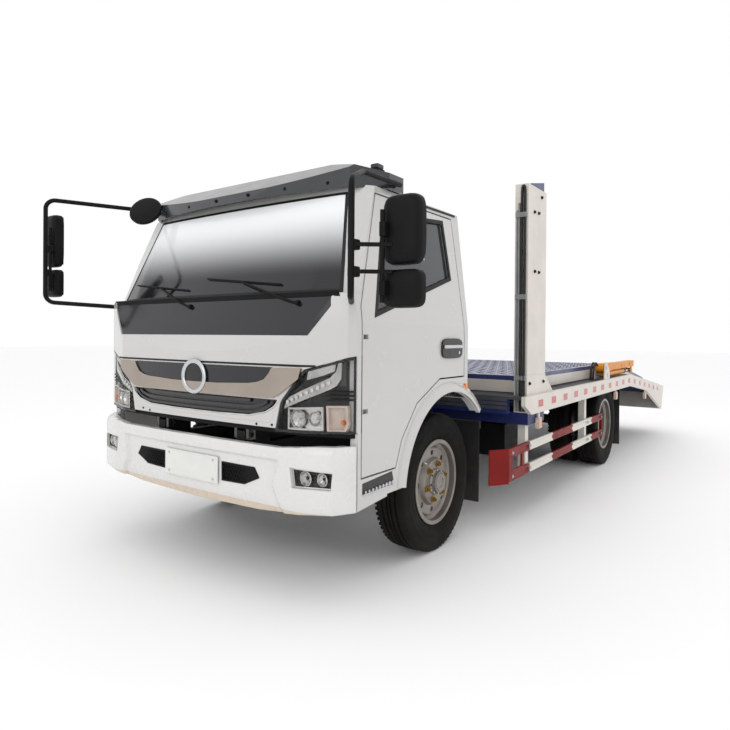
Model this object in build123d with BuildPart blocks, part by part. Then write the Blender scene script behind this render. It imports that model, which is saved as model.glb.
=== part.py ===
from build123d import *
import math
import os

# Cab-over flatbed recovery truck with a lifting upper deck, parked with its deck down.
# All sizes are millimetres. +Z is up, the front faces -Y and the vehicle's left side is +X.
# The origin is on the ground, midway along the length over the mirrors.

# Overall driving sizes
wheelbase = 3350.0
mirror_reach = 1358.0        # foremost point of the mirror frames, ahead of the front axle
bumper_reach = 1145.0        # bumper face ahead of the front axle
rear_overhang = 2990.0       # tail end behind the rear axle
bed_half = 1234.0            # half width over the bed's side rails
cab_half = 1030.0            # half width of the cab at the waist

front_axle = -(mirror_reach + wheelbase + rear_overhang) / 2 + mirror_reach
rear_axle = front_axle + wheelbase
tail_end = rear_axle + rear_overhang

# Running clearances
pin_gap = 0.1                # round a pin or a spindle
guide_gap = 0.5              # beside a part that slides in a guide
panel_gap = 8.0              # round a door leaf
seat_gap = 0.3               # between a piece and the seat that carries it

# Wheels and tyres
tyre_radius = 427.5
tyre_width = 210.0
rim_radius = 262.0
bead_radius = 246.0
rim_wall = 8.0
flange_width = 178.0
front_flange_x = cab_half - 83.0       # outer face of the front rim's flange
rear_flange_x = bed_half - 95.0        # outer face of the outer rear rim's flange
twin_spacing = 272.0
hub_radius = 92.0

# Frame
rail_outer = 375.0
rail_width = 62.0
rail_bottom = 560.0
rail_top = 740.0
frame_front = front_axle - 960.0
frame_back = rear_axle + 1210.0
# columns: station behind the front axle, height of the member's underside above the rail's
frame_crossmembers = (
    (-900.0, 5.0), (-620.0, 5.0), (-160.0, 5.0),
    (640.0, 80.0), (1500.0, 80.0), (2350.0, 80.0), (2900.0, 80.0),
    (3800.0, 5.0), (4480.0, 5.0),
)

# Bed
deck_front = front_axle + 750.0
deck_top = 912.0
deck_thickness = 20.0
hump_y = front_axle + 4150.0
slope_drop = 268.0           # fall of the tail from the hump to the tail's end
side_plate = 30.0
side_height = 135.0
slope_rate = slope_drop / (tail_end - hump_y)

# Lift posts
post_front = front_axle + 861.0
post_length = 385.0
post_outer = bed_half - side_plate
post_depth = 98.0
post_wall = 12.0
post_top = 2440.0
post_bottom = deck_top - 122.0

# Upper deck
upper_front = front_axle + 1000.0
upper_half = post_outer - post_depth - 46.0
upper_bottom = deck_top + 8.0
upper_height = 125.0
beam_width = 50.0

# Rear swing arms, one on each side rail
arm_pivot_y = front_axle + 3060.0
arm_pivot_z = 1032.0
arm_length = 1420.0
arm_width = 78.0
arm_height = 82.0
arm_x = bed_half - 69.0
cylinder_base_shift = 60.0
cylinder_drop = 73.0
cylinder_eye_shift = 1300.0
cylinder_radius = 28.0
rod_radius = 16.0
eye_radius = 24.0
cylinder_pin = 12.0


def slope_z(y, z):
    """Height of a line that runs level at z as far as the hump and then falls to the tail."""
    if y <= hump_y:
        return z
    return z - (y - hump_y) * slope_rate


# Cab tilt hinge, across the front of the frame
tilt_y = front_axle - 1060.0
tilt_z = 800.0
tilt_pin = 14.0
tilt_ear = 20.0
tilt_side_gap = 4.0
spring_x = rail_outer - rail_width / 2

# Cab shell: stations of the front face, all ahead of the front axle
cab_floor = 860.0
cab_wall = 45.0
cowl_z = 1545.0
roof_z = 2225.0
cab_back = front_axle + 250.0
face_y = front_axle - 1118.0
cowl_setback = 88.0          # the cowl line stands this far behind the grille face
screen_lean = 0.43           # fall-back of the windscreen for each unit of height
corner_y = front_axle - 968.0
tumble_half = cab_half - 85.0          # half width at the roof gutter
gutter_z = 2130.0
waist_z = 1400.0


def plan_outline(inset, setback):
    """Half-round plan of the cab's front, from one side wall round the nose to the other."""
    nose = face_y + inset + setback
    shoulder_x = 0.74 * cab_half
    shoulder_y = nose + 26.0
    side = cab_half - inset
    corner = corner_y + setback * 0.2 + inset * 0.3
    return nose, shoulder_x, shoulder_y, side, corner


def cab_volume(inset):
    """Outer form of the cab, moved in by inset on every face."""
    with BuildPart() as volume:
        nose, sx, sy, side, corner = plan_outline(inset, 0.0)
        back = cab_back - inset
        with BuildSketch(Plane.XY.offset(cab_floor + inset)):
            with BuildLine():
                arc = ThreePointArc((-sx, sy), (0, nose), (sx, sy))
                Polyline((sx, sy), (side - 30, corner - 40), (side, corner), (side, back),
                         (-side, back), (-side, corner), (-side + 30, corner - 40), (-sx, sy))
            make_face()
        extrude(amount=cowl_z - cab_floor - inset)
        nose, sx, sy, side, corner = plan_outline(inset, cowl_setback)
        with BuildSketch(Plane.XY.offset(cowl_z)):
            with BuildLine():
                arc = ThreePointArc((-sx, sy), (0, nose), (sx, sy))
                Polyline((sx, sy), (side - 50, corner), (side, corner + 40), (side, back), (-side, back),
                         (-side, corner + 40), (-side + 50, corner), (-sx, sy))
            make_face()
        rise = roof_z - inset - cowl_z
        extrude(amount=math.hypot(rise, rise * screen_lean), dir=(0, screen_lean, 1))
        with BuildSketch(Plane.XZ.offset(-cab_back - 800)):
            with BuildLine():
                Polyline((-cab_half + inset, cab_floor), (-cab_half + inset, waist_z),
                         (-tumble_half + inset, gutter_z - inset * 0.5))
                ThreePointArc((-tumble_half + inset, gutter_z - inset * 0.5), (0, roof_z - inset),
                              (tumble_half - inset, gutter_z - inset * 0.5))
                Polyline((tumble_half - inset, gutter_z - inset * 0.5), (cab_half - inset, waist_z),
                         (cab_half - inset, cab_floor), (-cab_half + inset, cab_floor))
            make_face()
        extrude(amount=4000, mode=Mode.INTERSECT)
        with BuildSketch(Plane.XY.offset(cab_floor + inset)):
            with Locations((0, (back + face_y) / 2 - 200)):
                Rectangle(2 * cab_half, back - face_y + 400)
        extrude(amount=roof_z, mode=Mode.INTERSECT)
        # the grille face leans back from the badge line up to the cowl
        with BuildSketch(Plane.YZ.offset(-cab_half - 10)):
            Polygon((face_y - 30, 1240), (face_y - 30, cowl_z + 60),
                    (face_y + cowl_setback + inset, cowl_z + 60),
                    (face_y + cowl_setback + inset, cowl_z), (face_y + inset, 1240), align=None)
        extrude(amount=2 * cab_half + 20, mode=Mode.SUBTRACT)
    return volume.part


cab_outer = cab_volume(0.0)
cab_inner = cab_volume(cab_wall)

# Steered wheels' arches
arch_radius = 545.0
flare_radius = 610.0
arch_z = 448.0
fender_bottom = 475.0
wheel_box_x = 560.0
tunnel_half = 330.0
tunnel_top = 1190.0
tunnel_front = front_axle - 640.0

# Openings in the cab, as outlines seen from the front (x, z) or from the side (y from the axle, z)
screen_low = cab_half - 140.0
screen_high = cab_half - 260.0
screen_outline = ((-screen_low, 1600.0), (-screen_high, 2085.0), (screen_high, 2085.0), (screen_low, 1600.0))
cowl_low = cab_half - 230.0
cowl_high = cab_half - 115.0
cowl_outline = ((-cowl_low, 1335.0), (-cowl_high, 1480.0), (-cowl_high, 1552.0),
                (cowl_high, 1552.0), (cowl_high, 1480.0), (cowl_low, 1335.0))
lamp_inner = cab_half - 426.0
lamp_outline = ((lamp_inner, 841.0), (lamp_inner + 36.0, 1000.0), (lamp_inner + 176.0, 1165.0),
                (cab_half + 30.0, 1246.0), (cab_half + 30.0, 855.0))
grille_high = cab_half - 410.0
grille_low = cab_half - 470.0
grille_outline = ((-grille_high, 1006.0), (-grille_low, 893.0), (grille_low, 893.0), (grille_high, 1006.0))
rear_glass_outline = ((-520.0, 1560.0), (-520.0, 1960.0), (520.0, 1960.0), (520.0, 1560.0))
door_outline = ((-930.0, 636.0), (-930.0, 1480.0), (-712.0, 2085.0), (150.0, 2085.0), (195.0, 1300.0),
                (195.0, 1085.0), (-130.0, 1085.0), (-400.0, 960.0), (-560.0, 780.0), (-622.0, 636.0))
door_glass_outline = ((-800.0, 1450.0), (-655.0, 1985.0), (20.0, 2045.0), (55.0, 1700.0))


def side_prism(outline, grow, x_from, x_to):
    """A solid along X whose outline is given from the side, grown outwards by grow."""
    with BuildPart() as prism:
        with BuildSketch(Plane.YZ.offset(x_from)):
            Polygon(*[(front_axle + y, z) for y, z in outline], align=None)
            if grow:
                offset(amount=grow, kind=Kind.INTERSECTION)
        extrude(amount=x_to - x_from)
    return prism.part


def front_prism(outline, grow, y_from, y_to):
    """A solid along Y whose outline is given from the front, grown outwards by grow."""
    with BuildPart() as prism:
        with BuildSketch(Plane.XZ.offset(-y_to)):
            Polygon(*outline, align=None)
            if grow:
                offset(amount=grow, kind=Kind.INTERSECTION)
        extrude(amount=y_to - y_from)
    return prism.part


nose_from = face_y - 120.0
nose_to = front_axle - 700.0
sill_z = cab_floor + cab_wall + 1.0


def door_space(grow, side):
    """The room that a door fills: the side wall's depth low down, deeper above the floor."""
    wall_x = cab_half - cab_wall - grow
    if side > 0:
        low = side_prism(door_outline, grow, wall_x, cab_half + 60)
        high = side_prism(door_outline, grow, cab_half - 220, cab_half + 60)
    else:
        low = side_prism(door_outline, grow, -cab_half - 60, -wall_x)
        high = side_prism(door_outline, grow, -cab_half - 60, -cab_half + 220)
    with BuildPart() as space:
        add(high)
        with Locations((0, front_axle, sill_z - 500)):
            Box(3000, 3000, 1000, mode=Mode.SUBTRACT)
        add(low)
    return space.part


# Fender and step walls below the floor
with BuildPart() as fenders:
    with BuildSketch(Plane.YZ.offset(cab_half - cab_wall)):
        with BuildLine():
            Polyline((front_axle - 965, cab_floor + 8), (front_axle - 965, fender_bottom),
                     (front_axle - 560, fender_bottom + 36), (front_axle - 440, cab_floor + 8),
                     (front_axle - 965, cab_floor + 8))
        make_face()
        with Locations((front_axle, arch_z)):
            Circle(flare_radius)
        with BuildLine():
            Polyline((front_axle - 700, fender_bottom + 36), (front_axle - 700, -300),
                     (front_axle + 700, -300), (front_axle + 700, 840), (front_axle + 300, 840),
                     (front_axle, fender_bottom + 36), (front_axle - 700, fender_bottom + 36))
        make_face(mode=Mode.SUBTRACT)
        with Locations((front_axle, arch_z)):
            Circle(arch_radius, mode=Mode.SUBTRACT)
    extrude(amount=cab_wall)
    mirror(about=Plane.YZ)

with BuildPart() as cab_shell:
    add(cab_outer)
    add(cab_inner, mode=Mode.SUBTRACT)
    add(fenders.part)
    # wheel boxes that close the arches inside the cab
    with BuildSketch(Plane.YZ.offset(wheel_box_x - 25)):
        with Locations((front_axle, arch_z)):
            Circle(arch_radius + 25)
        with Locations((front_axle, cab_floor - 500)):
            Rectangle(3000, 1000, mode=Mode.SUBTRACT)
        with Locations((cab_back + 500, cab_floor)):
            Rectangle(1000, 3000, mode=Mode.SUBTRACT)
    extrude(amount=cab_half - cab_wall - wheel_box_x + 26)
    with BuildSketch(Plane.YZ.offset(-cab_half + cab_wall - 1)):
        with Locations((front_axle, arch_z)):
            Circle(arch_radius + 25)
        with Locations((front_axle, cab_floor - 500)):
            Rectangle(3000, 1000, mode=Mode.SUBTRACT)
        with Locations((cab_back + 500, cab_floor)):
            Rectangle(1000, 3000, mode=Mode.SUBTRACT)
    extrude(amount=cab_half - cab_wall - wheel_box_x + 26)
    # engine tunnel through the floor and the foot of the rear wall
    with BuildSketch(Plane.XY.offset(cab_floor)):
        with Locations((0, (tunnel_front + cab_back) / 2)):
            Rectangle(2 * tunnel_half + 2 * cab_wall, cab_back - tunnel_front)
    extrude(amount=tunnel_top + cab_wall - cab_floor)
    with BuildSketch(Plane.XY.offset(cab_floor - 10)):
        with Locations((0, (tunnel_front + cab_wall + cab_back + 20) / 2)):
            Rectangle(2 * tunnel_half, cab_back + 20 - tunnel_front - cab_wall)
    extrude(amount=tunnel_top + 10 - cab_floor, mode=Mode.SUBTRACT)
    # wheel arches, cut through the floor behind each wall
    with BuildSketch(Plane.YZ.offset(-cab_half - 20)):
        with Locations((front_axle, arch_z)):
            Circle(arch_radius)
    extrude(amount=cab_half + 20 - wheel_box_x, mode=Mode.SUBTRACT)
    with BuildSketch(Plane.YZ.offset(wheel_box_x)):
        with Locations((front_axle, arch_z)):
            Circle(arch_radius)
    extrude(amount=cab_half + 20 - wheel_box_x, mode=Mode.SUBTRACT)
    add(front_prism(screen_outline, 0, nose_from, nose_to + 200), mode=Mode.SUBTRACT)
    add(front_prism(cowl_outline, 0, nose_from, nose_to - 200), mode=Mode.SUBTRACT)
    add(front_prism(lamp_outline, 0, nose_from, corner_y - 4), mode=Mode.SUBTRACT)
    add(front_prism([(-x, z) for x, z in lamp_outline], 0, nose_from, corner_y - 4), mode=Mode.SUBTRACT)
    add(front_prism(grille_outline, 0, nose_from, nose_to), mode=Mode.SUBTRACT)
    add(front_prism(rear_glass_outline, 0, cab_back - cab_wall - 20, cab_back + 20), mode=Mode.SUBTRACT)
    add(door_space(panel_gap, 1), mode=Mode.SUBTRACT)
    add(door_space(panel_gap, -1), mode=Mode.SUBTRACT)
    # ears under the floor that turn on the tilt pins
    for side in (1, -1):
        for shift in (1, -1):
            ear_x = side * spring_x + shift * (rail_width / 2 + tilt_side_gap + tilt_ear / 2)
            with Locations((ear_x, tilt_y, (tilt_z - 26 + cab_floor + 10) / 2)):
                Box(tilt_ear, 52, cab_floor + 10 - tilt_z + 26)
            with Locations(Location((ear_x, tilt_y, tilt_z), (0, 90, 0))):
                Cylinder(tilt_pin + pin_gap, tilt_ear + 2, mode=Mode.SUBTRACT)


def cab_skin(outer_inset, inner_inset, prism, name):
    """A panel that follows the cab's form between two depths, inside a prism."""
    with BuildPart() as skin:
        add(outer_inset)
        add(inner_inset, mode=Mode.SUBTRACT)
        add(prism, mode=Mode.INTERSECT)
    skin.part.label = name
    return skin.part


glass_outer = cab_volume(14.0)
glass_inner = cab_volume(20.0)
screen_prism = front_prism(screen_outline, -seat_gap, nose_from, nose_to + 200)
cowl_prism = front_prism(cowl_outline, -seat_gap, nose_from, nose_to - 200)
grille_prism = front_prism(grille_outline, -seat_gap, nose_from, nose_to)
windscreen = cab_skin(glass_outer, glass_inner, screen_prism, "windscreen")
cowl_panel = cab_skin(cab_outer, cab_inner, cowl_prism, "cowl_panel")
grille = cab_skin(glass_outer, cab_inner, grille_prism, "grille")
lamp_left = front_prism(lamp_outline, -seat_gap, nose_from, corner_y - 4 - seat_gap)
lamp_right = front_prism([(-x, z) for x, z in lamp_outline], -seat_gap, nose_from, corner_y - 4 - seat_gap)
headlamps = cab_skin(cab_outer, cab_inner, lamp_left, "left")
headlamps += cab_skin(cab_outer, cab_inner, lamp_right, "right")
headlamps.label = "headlamps"

chrome_low = cab_half - 430.0
chrome_high = cab_half - 254.0
chrome_outline = ((-chrome_low, 1008.0), (-chrome_high, 1172.0), (chrome_high, 1172.0), (chrome_low, 1008.0))
chrome_proud = 14.0
chrome_band = cab_skin(cab_volume(-chrome_proud), cab_outer,
                       front_prism(chrome_outline, 0, nose_from, nose_to), "chrome_band")

rear_glass_depth = 8.0
with BuildPart() as rear_glass:
    with BuildSketch(Plane.XZ.offset(-cab_back + cab_wall / 2)):
        Polygon(*rear_glass_outline, align=None)
        offset(amount=-seat_gap, kind=Kind.INTERSECTION)
    extrude(amount=rear_glass_depth)
rear_glass.part.label = "rear_glass"

# Doors: a leaf as thick as the wall, its glass and a handle
door_hinge_x = cab_half - 14.0
door_hinge_y = front_axle - 916.0
door_pillar_y = front_axle - 930.0 - panel_gap
hinge_heights = (960.0, 1330.0)
hinge_pin_radius = 8.0
hinge_pin_length = 90.0
hinge_plate = 10.0


def door_leaf(side):
    """One door leaf with its window cut; side is 1 for the left and -1 for the right."""
    x_from, x_to = (cab_half - 220, cab_half + 60) if side > 0 else (-cab_half - 60, -cab_half + 220)
    with BuildPart() as leaf:
        add(cab_outer)
        add(cab_inner, mode=Mode.SUBTRACT)
        add(fenders.part)
        add(door_space(0, side), mode=Mode.INTERSECT)
        add(side_prism(door_glass_outline, 0, x_from, x_to), mode=Mode.SUBTRACT)
        with Locations(*[(side * door_hinge_x, door_hinge_y, z) for z in hinge_heights]):
            Cylinder(hinge_pin_radius + pin_gap, hinge_pin_length + 4, mode=Mode.SUBTRACT)
            Box(80, 70, hinge_plate + 12, mode=Mode.SUBTRACT)
    return leaf.part


def door_pane(side):
    """The glass of one door."""
    x_from, x_to = (cab_half - 220, cab_half + 60) if side > 0 else (-cab_half - 60, -cab_half + 220)
    prism = side_prism(door_glass_outline, -seat_gap, x_from, x_to)
    return cab_skin(glass_outer, glass_inner, prism, "glass")


def door_handle(side):
    """The pull on one door, rooted in the leaf."""
    with BuildPart() as handle:
        with BuildSketch(Plane.YZ.offset(side * (cab_half - 4))):
            with Locations((front_axle + 90, 1235)):
                RectangleRounded(170, 66, 24)
        extrude(amount=side * 16)
    return handle.part


doors = {}
for side_name, side in (("left", 1), ("right", -1)):
    doors["door_" + side_name] = door_leaf(side) + door_handle(side)
    doors["door_glass_" + side_name] = door_pane(side)

# Hinge plates and pins stand on the cab's front pillars
with BuildPart() as door_hinges:
    for side in (1, -1):
        for z in hinge_heights:
            with Locations((side * door_hinge_x, door_hinge_y, z)):
                Cylinder(hinge_pin_radius, hinge_pin_length)
            with Locations((side * (door_hinge_x - 12), (door_hinge_y + door_pillar_y) / 2, z)):
                Box(24, door_hinge_y - door_pillar_y, hinge_plate)
door_hinges.part.label = "door_hinges"

# Visor over the windscreen, a thin cowl on the roof's front edge
visor_wall = 14.0
visor_lip = 2127.0
visor_front = front_axle - 862.0
visor_back = front_axle - 480.0
visor_half = cab_half - 50.0
visor_nose = cab_half - 200.0


def visor_form(inset):
    """Closed form of the visor, moved in by inset on its outer faces."""
    front, back, half, nose = visor_front + inset, visor_back - inset, visor_half - inset, visor_nose - inset
    foot = visor_lip - abs(inset)
    with BuildPart() as form:
        with BuildSketch(Plane.YZ.offset(-half)):
            Polygon((front, foot), (front + 12, 2185 - inset * 0.5), (front_axle - 700, 2292 - inset * 1.2),
                    (front_axle - 570, 2340 - inset * 1.1), (back, 2345 - inset), (back, foot), align=None)
        extrude(amount=2 * half)
        with BuildSketch(Plane.XY.offset(foot - 20)):
            with BuildLine():
                ThreePointArc((-nose, front + 80), (0, front), (nose, front + 80))
                Polyline((nose, front + 80), (half, front + 240), (half, back), (-half, back),
                         (-half, front + 240), (-nose, front + 80))
            make_face()
        extrude(amount=300, mode=Mode.INTERSECT)
        with BuildSketch(Plane.XZ.offset(-front)):
            with BuildLine():
                Polyline((-half, foot - 20), (-half, 2212 - inset))
                ThreePointArc((-half, 2212 - inset), (0, 2352 - inset), (half, 2212 - inset))
                Polyline((half, 2212 - inset), (half, foot - 20), (-half, foot - 20))
            make_face()
        extrude(amount=-500, mode=Mode.INTERSECT)
    return form.part


with BuildPart() as visor:
    add(visor_form(0.0))
    add(visor_form(visor_wall), mode=Mode.SUBTRACT)
    add(cab_volume(-1.0), mode=Mode.SUBTRACT)
visor.part.label = "visor"

# Mirrors: paths of the frames, then the heads
mirror_tube = 14.0
mirror_x = cab_half + 400.0
bar_x = cab_half + 232.0
mirror_head_y = front_axle - 1210.0
frame_bar_y = front_axle - mirror_reach + mirror_tube


def mirror_frame(points, bend):
    """A tube that follows points, given as x, y from the front axle, and z."""
    route = [(x, front_axle + y, z) for x, y, z in points]
    with BuildPart() as tube:
        with BuildLine() as path:
            FilletPolyline(*route, radius=bend)
        with BuildSketch(Plane(origin=path.line @ 0, z_dir=path.line % 0)):
            Circle(mirror_tube)
        sweep()
    return tube.part


bar_forward = -mirror_reach + mirror_tube
left_frame_route = ((cab_half - 32, -545, 2160), (cab_half + 30, -980, 2125), (bar_x, bar_forward, 1985),
                    (bar_x, bar_forward, 1500), (cab_half - 45, -965, 1500))
right_frame_route = ((-cab_half + 95, -660, 2215), (-bar_x, bar_forward, 2225), (-bar_x, bar_forward, 1545),
                     (-cab_half + 45, -965, 1520))
# columns: name, side, frame route, heads as (centre height, height), bracket heights
mirror_table = (
    ("left", 1, left_frame_route, ((1776, 292), (1532, 160)), (1712, 1600)),
    ("right", -1, right_frame_route, ((1980, 360), (1686, 190)), (1900, 1740)),
)
bracket_length = math.hypot(mirror_x - bar_x, mirror_head_y - frame_bar_y)
bracket_turn = math.degrees(math.atan2(mirror_head_y - frame_bar_y, mirror_x - bar_x))
mirrors = {}
for name, side, route, heads, brackets in mirror_table:
    with BuildPart() as head_part:
        for z, height in heads:
            with BuildSketch(Plane.XZ.offset(-mirror_head_y - 34)):
                with Locations((side * mirror_x, z)):
                    RectangleRounded(186, height, 34)
            extrude(amount=68, taper=6)
    mirrors["mirror_heads_" + name] = head_part.part
    with BuildPart() as frame_part:
        add(mirror_frame(route, 60))
        for z in brackets:
            with Locations((side * (bar_x + mirror_x) / 2, (frame_bar_y + mirror_head_y) / 2, z)):
                Box(bracket_length, 16, 16, rotation=(0, 0, side * bracket_turn))
        add(cab_outer, mode=Mode.SUBTRACT)
        add(visor_form(-1.0), mode=Mode.SUBTRACT)
        add(head_part.part, mode=Mode.SUBTRACT)
    mirrors["mirror_frame_" + name] = frame_part.part
with BuildPart() as front_mirror:
    with Locations(Location((-cab_half + 178, front_axle - 862, 2177), (62, 0, 30))):
        Cylinder(112, 46)
    with Locations(Location((-cab_half + 230, front_axle - 800, 2200), (62, 0, 30))):
        Cylinder(14, 120)
    add(visor_form(-1.0), mode=Mode.SUBTRACT)
    add(cab_outer, mode=Mode.SUBTRACT)
mirrors["front_mirror"] = front_mirror.part


# Cab interior
steering_x = cab_half - 430.0
steering_y = front_axle - 560.0
steering_z = 1440.0
steering_tilt = math.radians(32.0)
steering_rim = 215.0
steering_plane = Plane(origin=(steering_x, steering_y, steering_z), x_dir=(1, 0, 0),
                       z_dir=(0, math.sin(steering_tilt), math.cos(steering_tilt)))
with BuildPart() as dashboard:
    with BuildSketch(Plane.YZ.offset(-cab_half)):
        Polygon((front_axle - 1100, 1090), (front_axle - 1100, 1470), (front_axle - 780, 1500),
                (front_axle - 650, 1400), (front_axle - 690, 1090), align=None)
    extrude(amount=2 * cab_half)
    add(cab_volume(cab_wall + seat_gap), mode=Mode.INTERSECT)
    with Locations((0, front_axle - 900, 1300)):
        Box(2 * (cab_half - cab_wall - panel_gap - 4), 900, 1200, mode=Mode.INTERSECT)
    with BuildSketch(steering_plane.offset(-300)):
        Circle(26)
    extrude(amount=300 - 36 - seat_gap)
    with BuildSketch(steering_plane.offset(-40)):
        Circle(12)
    extrude(amount=24)
with BuildPart(steering_plane) as steering_wheel:
    Torus(steering_rim, 15)
    for angle in (90, 210, 330):
        spoke = math.radians(angle)
        with Locations(Location((steering_rim / 2 * math.cos(spoke), steering_rim / 2 * math.sin(spoke), -8),
                                (0, 0, angle))):
            Box(steering_rim - 4, 34, 14)
    with Locations((0, 0, -14)):
        Cylinder(62, 44)
    with Locations((0, 0, -26)):
        Cylinder(12 + pin_gap, 20 + 2, mode=Mode.SUBTRACT)

seat_x = cab_half - 390.0
seat_floor = arch_z + arch_radius + 25 + seat_gap
with BuildPart() as seats:
    for side in (1, -1):
        with BuildSketch(Plane.YZ.offset(side * seat_x - 235)):
            Polygon((front_axle - 430, seat_floor), (front_axle - 430, seat_floor + 130),
                    (front_axle - 20, seat_floor + 110), (front_axle + 50, 1850), (front_axle + 160, 1850),
                    (front_axle + 110, seat_floor), align=None)
        extrude(amount=470)

# Bumper: a bowed shell with grille and lamp openings, and its two brackets
bumper_wall = 40.0
bumper_bottom = 423.0
bumper_half = cab_half
mesh_outline = ((246, 652), (492, 651), (525, 599), (421, 552), (248, 548))
fog_outline = ((bumper_half - 292, 683), (bumper_half - 68, 676), (bumper_half - 75, 588),
               (bumper_half - 278, 584))
bumper_mesh_depth = 12.0
bumper_face = front_axle - bumper_reach


def bumper_band(inset):
    """Plan of the bumper's face at a depth behind its outer skin."""
    nose = bumper_face + inset
    back = corner_y - 6 + 2 * inset
    flat = bumper_half - 250 - inset * 0.4
    turn = bumper_half - 70 - inset * 0.7
    side = bumper_half - inset
    with BuildPart() as band:
        with BuildSketch(Plane.XY.offset(bumper_bottom - 5)):
            with BuildLine():
                ThreePointArc((-flat, nose + 26), (0, nose), (flat, nose + 26))
                Polyline((flat, nose + 26), (turn, nose + 78), (side, nose + 165 - inset * 0.5),
                         (side, back), (-side, back), (-side, nose + 165 - inset * 0.5),
                         (-turn, nose + 78), (-flat, nose + 26))
            make_face()
        extrude(amount=400)
    return band.part


bumper_elevation = ((-bumper_half, 475), (-500, 430), (0, bumper_bottom), (500, 430), (bumper_half, 475),
                    (bumper_half, 798), (bumper_half - 150, 792), (bumper_half - 380, 772),
                    (-bumper_half + 380, 772), (-bumper_half + 150, 792), (-bumper_half, 798))
with BuildPart() as bumper:
    add(bumper_band(0))
    add(bumper_band(bumper_wall), mode=Mode.SUBTRACT)
    with Locations((0, front_axle - 965, 600)):
        Box(2 * bumper_half - 2 * bumper_wall, 60, 600, mode=Mode.SUBTRACT)
    add(front_prism(bumper_elevation, 0, bumper_face - 10, corner_y + 10), mode=Mode.INTERSECT)
    for outline in (mesh_outline, fog_outline):
        add(front_prism(outline, 0, bumper_face - 10, bumper_face + 160), mode=Mode.SUBTRACT)
        mirrored = [(-x, z) for x, z in outline]
        add(front_prism(mirrored, 0, bumper_face - 10, bumper_face + 160), mode=Mode.SUBTRACT)
    for side in (1, -1):
        with Locations((side * spring_x, (bumper_face + bumper_wall - 2 + frame_front) / 2, 640)):
            Box(rail_width, frame_front - bumper_face - bumper_wall + 2, 140)
with BuildPart() as bumper_grilles:
    for outline in (mesh_outline, [(-x, z) for x, z in mesh_outline]):
        add(front_prism(outline, -seat_gap, bumper_face + bumper_mesh_depth, bumper_face + bumper_wall - 4))
with BuildPart() as fog_lamps:
    for outline in (fog_outline, [(-x, z) for x, z in fog_outline]):
        add(front_prism(outline, -seat_gap, bumper_face - 10, bumper_face + 160))
    add(bumper_band(6), mode=Mode.INTERSECT)
    add(bumper_band(bumper_wall - 4), mode=Mode.SUBTRACT)
with BuildPart() as number_plate:
    with Locations((0, bumper_face - 3 - seat_gap, 600)):
        Box(440, 6, 140)

# Chassis frame: two box rails and the cross members between them
with BuildPart() as chassis_frame:
    for side in (1, -1):
        with Locations((side * (rail_outer - rail_width / 2), (frame_front + frame_back) / 2,
                        (rail_bottom + rail_top) / 2)):
            Box(rail_width, frame_back - frame_front, rail_top - rail_bottom)
    for station, rise in frame_crossmembers:
        with Locations((0, front_axle + station, rail_bottom + rise + 50)):
            Box(2 * (rail_outer - rail_width) + 2, 70, 100)
    for side in (1, -1):
        # rests under the cab's rear corners, and the ears and pin that the cab tilts on
        with Locations((side * spring_x, front_axle + 180, (rail_top + cab_floor) / 2)):
            Box(rail_width, 80, cab_floor - rail_top - 2 * seat_gap)
        with Locations((side * spring_x, front_axle + 180, rail_top - 5)):
            Box(rail_width, 80, 20)
        with Locations((side * spring_x, (tilt_y - 30 + front_axle - 900) / 2, (tilt_z + rail_top - 5) / 2)):
            Box(rail_width, front_axle - 900 - tilt_y + 30, tilt_z + 20 - rail_top + 25)
        with Locations(Location((side * spring_x, tilt_y, tilt_z), (0, 90, 0))):
            Cylinder(tilt_pin, rail_width + 2 * (tilt_ear + tilt_side_gap))

engine_length = 760.0
shaft_front = front_axle + 605.0
shaft_z = 590.0
engine_front = front_axle - 540.0
engine_height = 430.0
with BuildPart() as engine_block:
    with Locations((0, engine_front + engine_length / 2, rail_bottom + 105 + engine_height / 2)):
        Box(2 * tunnel_half - 90, engine_length, engine_height)
    with Locations((0, (engine_front + engine_length + shaft_front) / 2, 690)):
        Box(300, shaft_front - engine_front - engine_length, 260)

# Axles, springs and shaft
beam_bottom = 350.0
beam_height = 85.0
kingpin_x = front_flange_x - 212.0
kingpin_radius = 18.0
eye_half = 52.0
eye_wall = 26.0
fork_gap = 2.0
fork_plate = 26.0
spindle_radius = 30.0
spindle_end = front_flange_x - 25.0
spring_width = 66.0
with BuildPart() as front_axle_beam:
    with Locations((0, front_axle, beam_bottom + beam_height / 2)):
        Box(2 * (kingpin_x - 75), 90, beam_height)
    for side in (1, -1):
        with Locations((side * (kingpin_x - 70), front_axle, tyre_radius)):
            Box(140, 70, 2 * eye_half - 4)
        with Locations((side * kingpin_x, front_axle, tyre_radius)):
            Cylinder(kingpin_radius + eye_wall, 2 * eye_half)
            Cylinder(kingpin_radius + pin_gap, 2 * eye_half + 2, mode=Mode.SUBTRACT)


def knuckle(side):
    """Fork, kingpin and spindle of one steered wheel."""
    web_x = kingpin_x + kingpin_radius + eye_wall + 18.0
    with BuildPart() as piece:
        with Locations((side * kingpin_x, front_axle, tyre_radius)):
            Cylinder(kingpin_radius, 2 * (eye_half + fork_gap + fork_plate))
        for z in (1, -1):
            plate_z = tyre_radius + z * (eye_half + fork_gap + fork_plate / 2)
            with Locations((side * (web_x - 50), front_axle, plate_z)):
                Box(125, 84, fork_plate)
        with Locations((side * web_x, front_axle, tyre_radius)):
            Box(25, 110, 2 * (eye_half + fork_gap + fork_plate))
        with Locations(Location((side * web_x, front_axle, tyre_radius), (0, side * 90, 0))):
            Cylinder(spindle_radius, spindle_end - web_x, align=(Align.CENTER, Align.CENTER, Align.MIN))
    return piece.part


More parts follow.
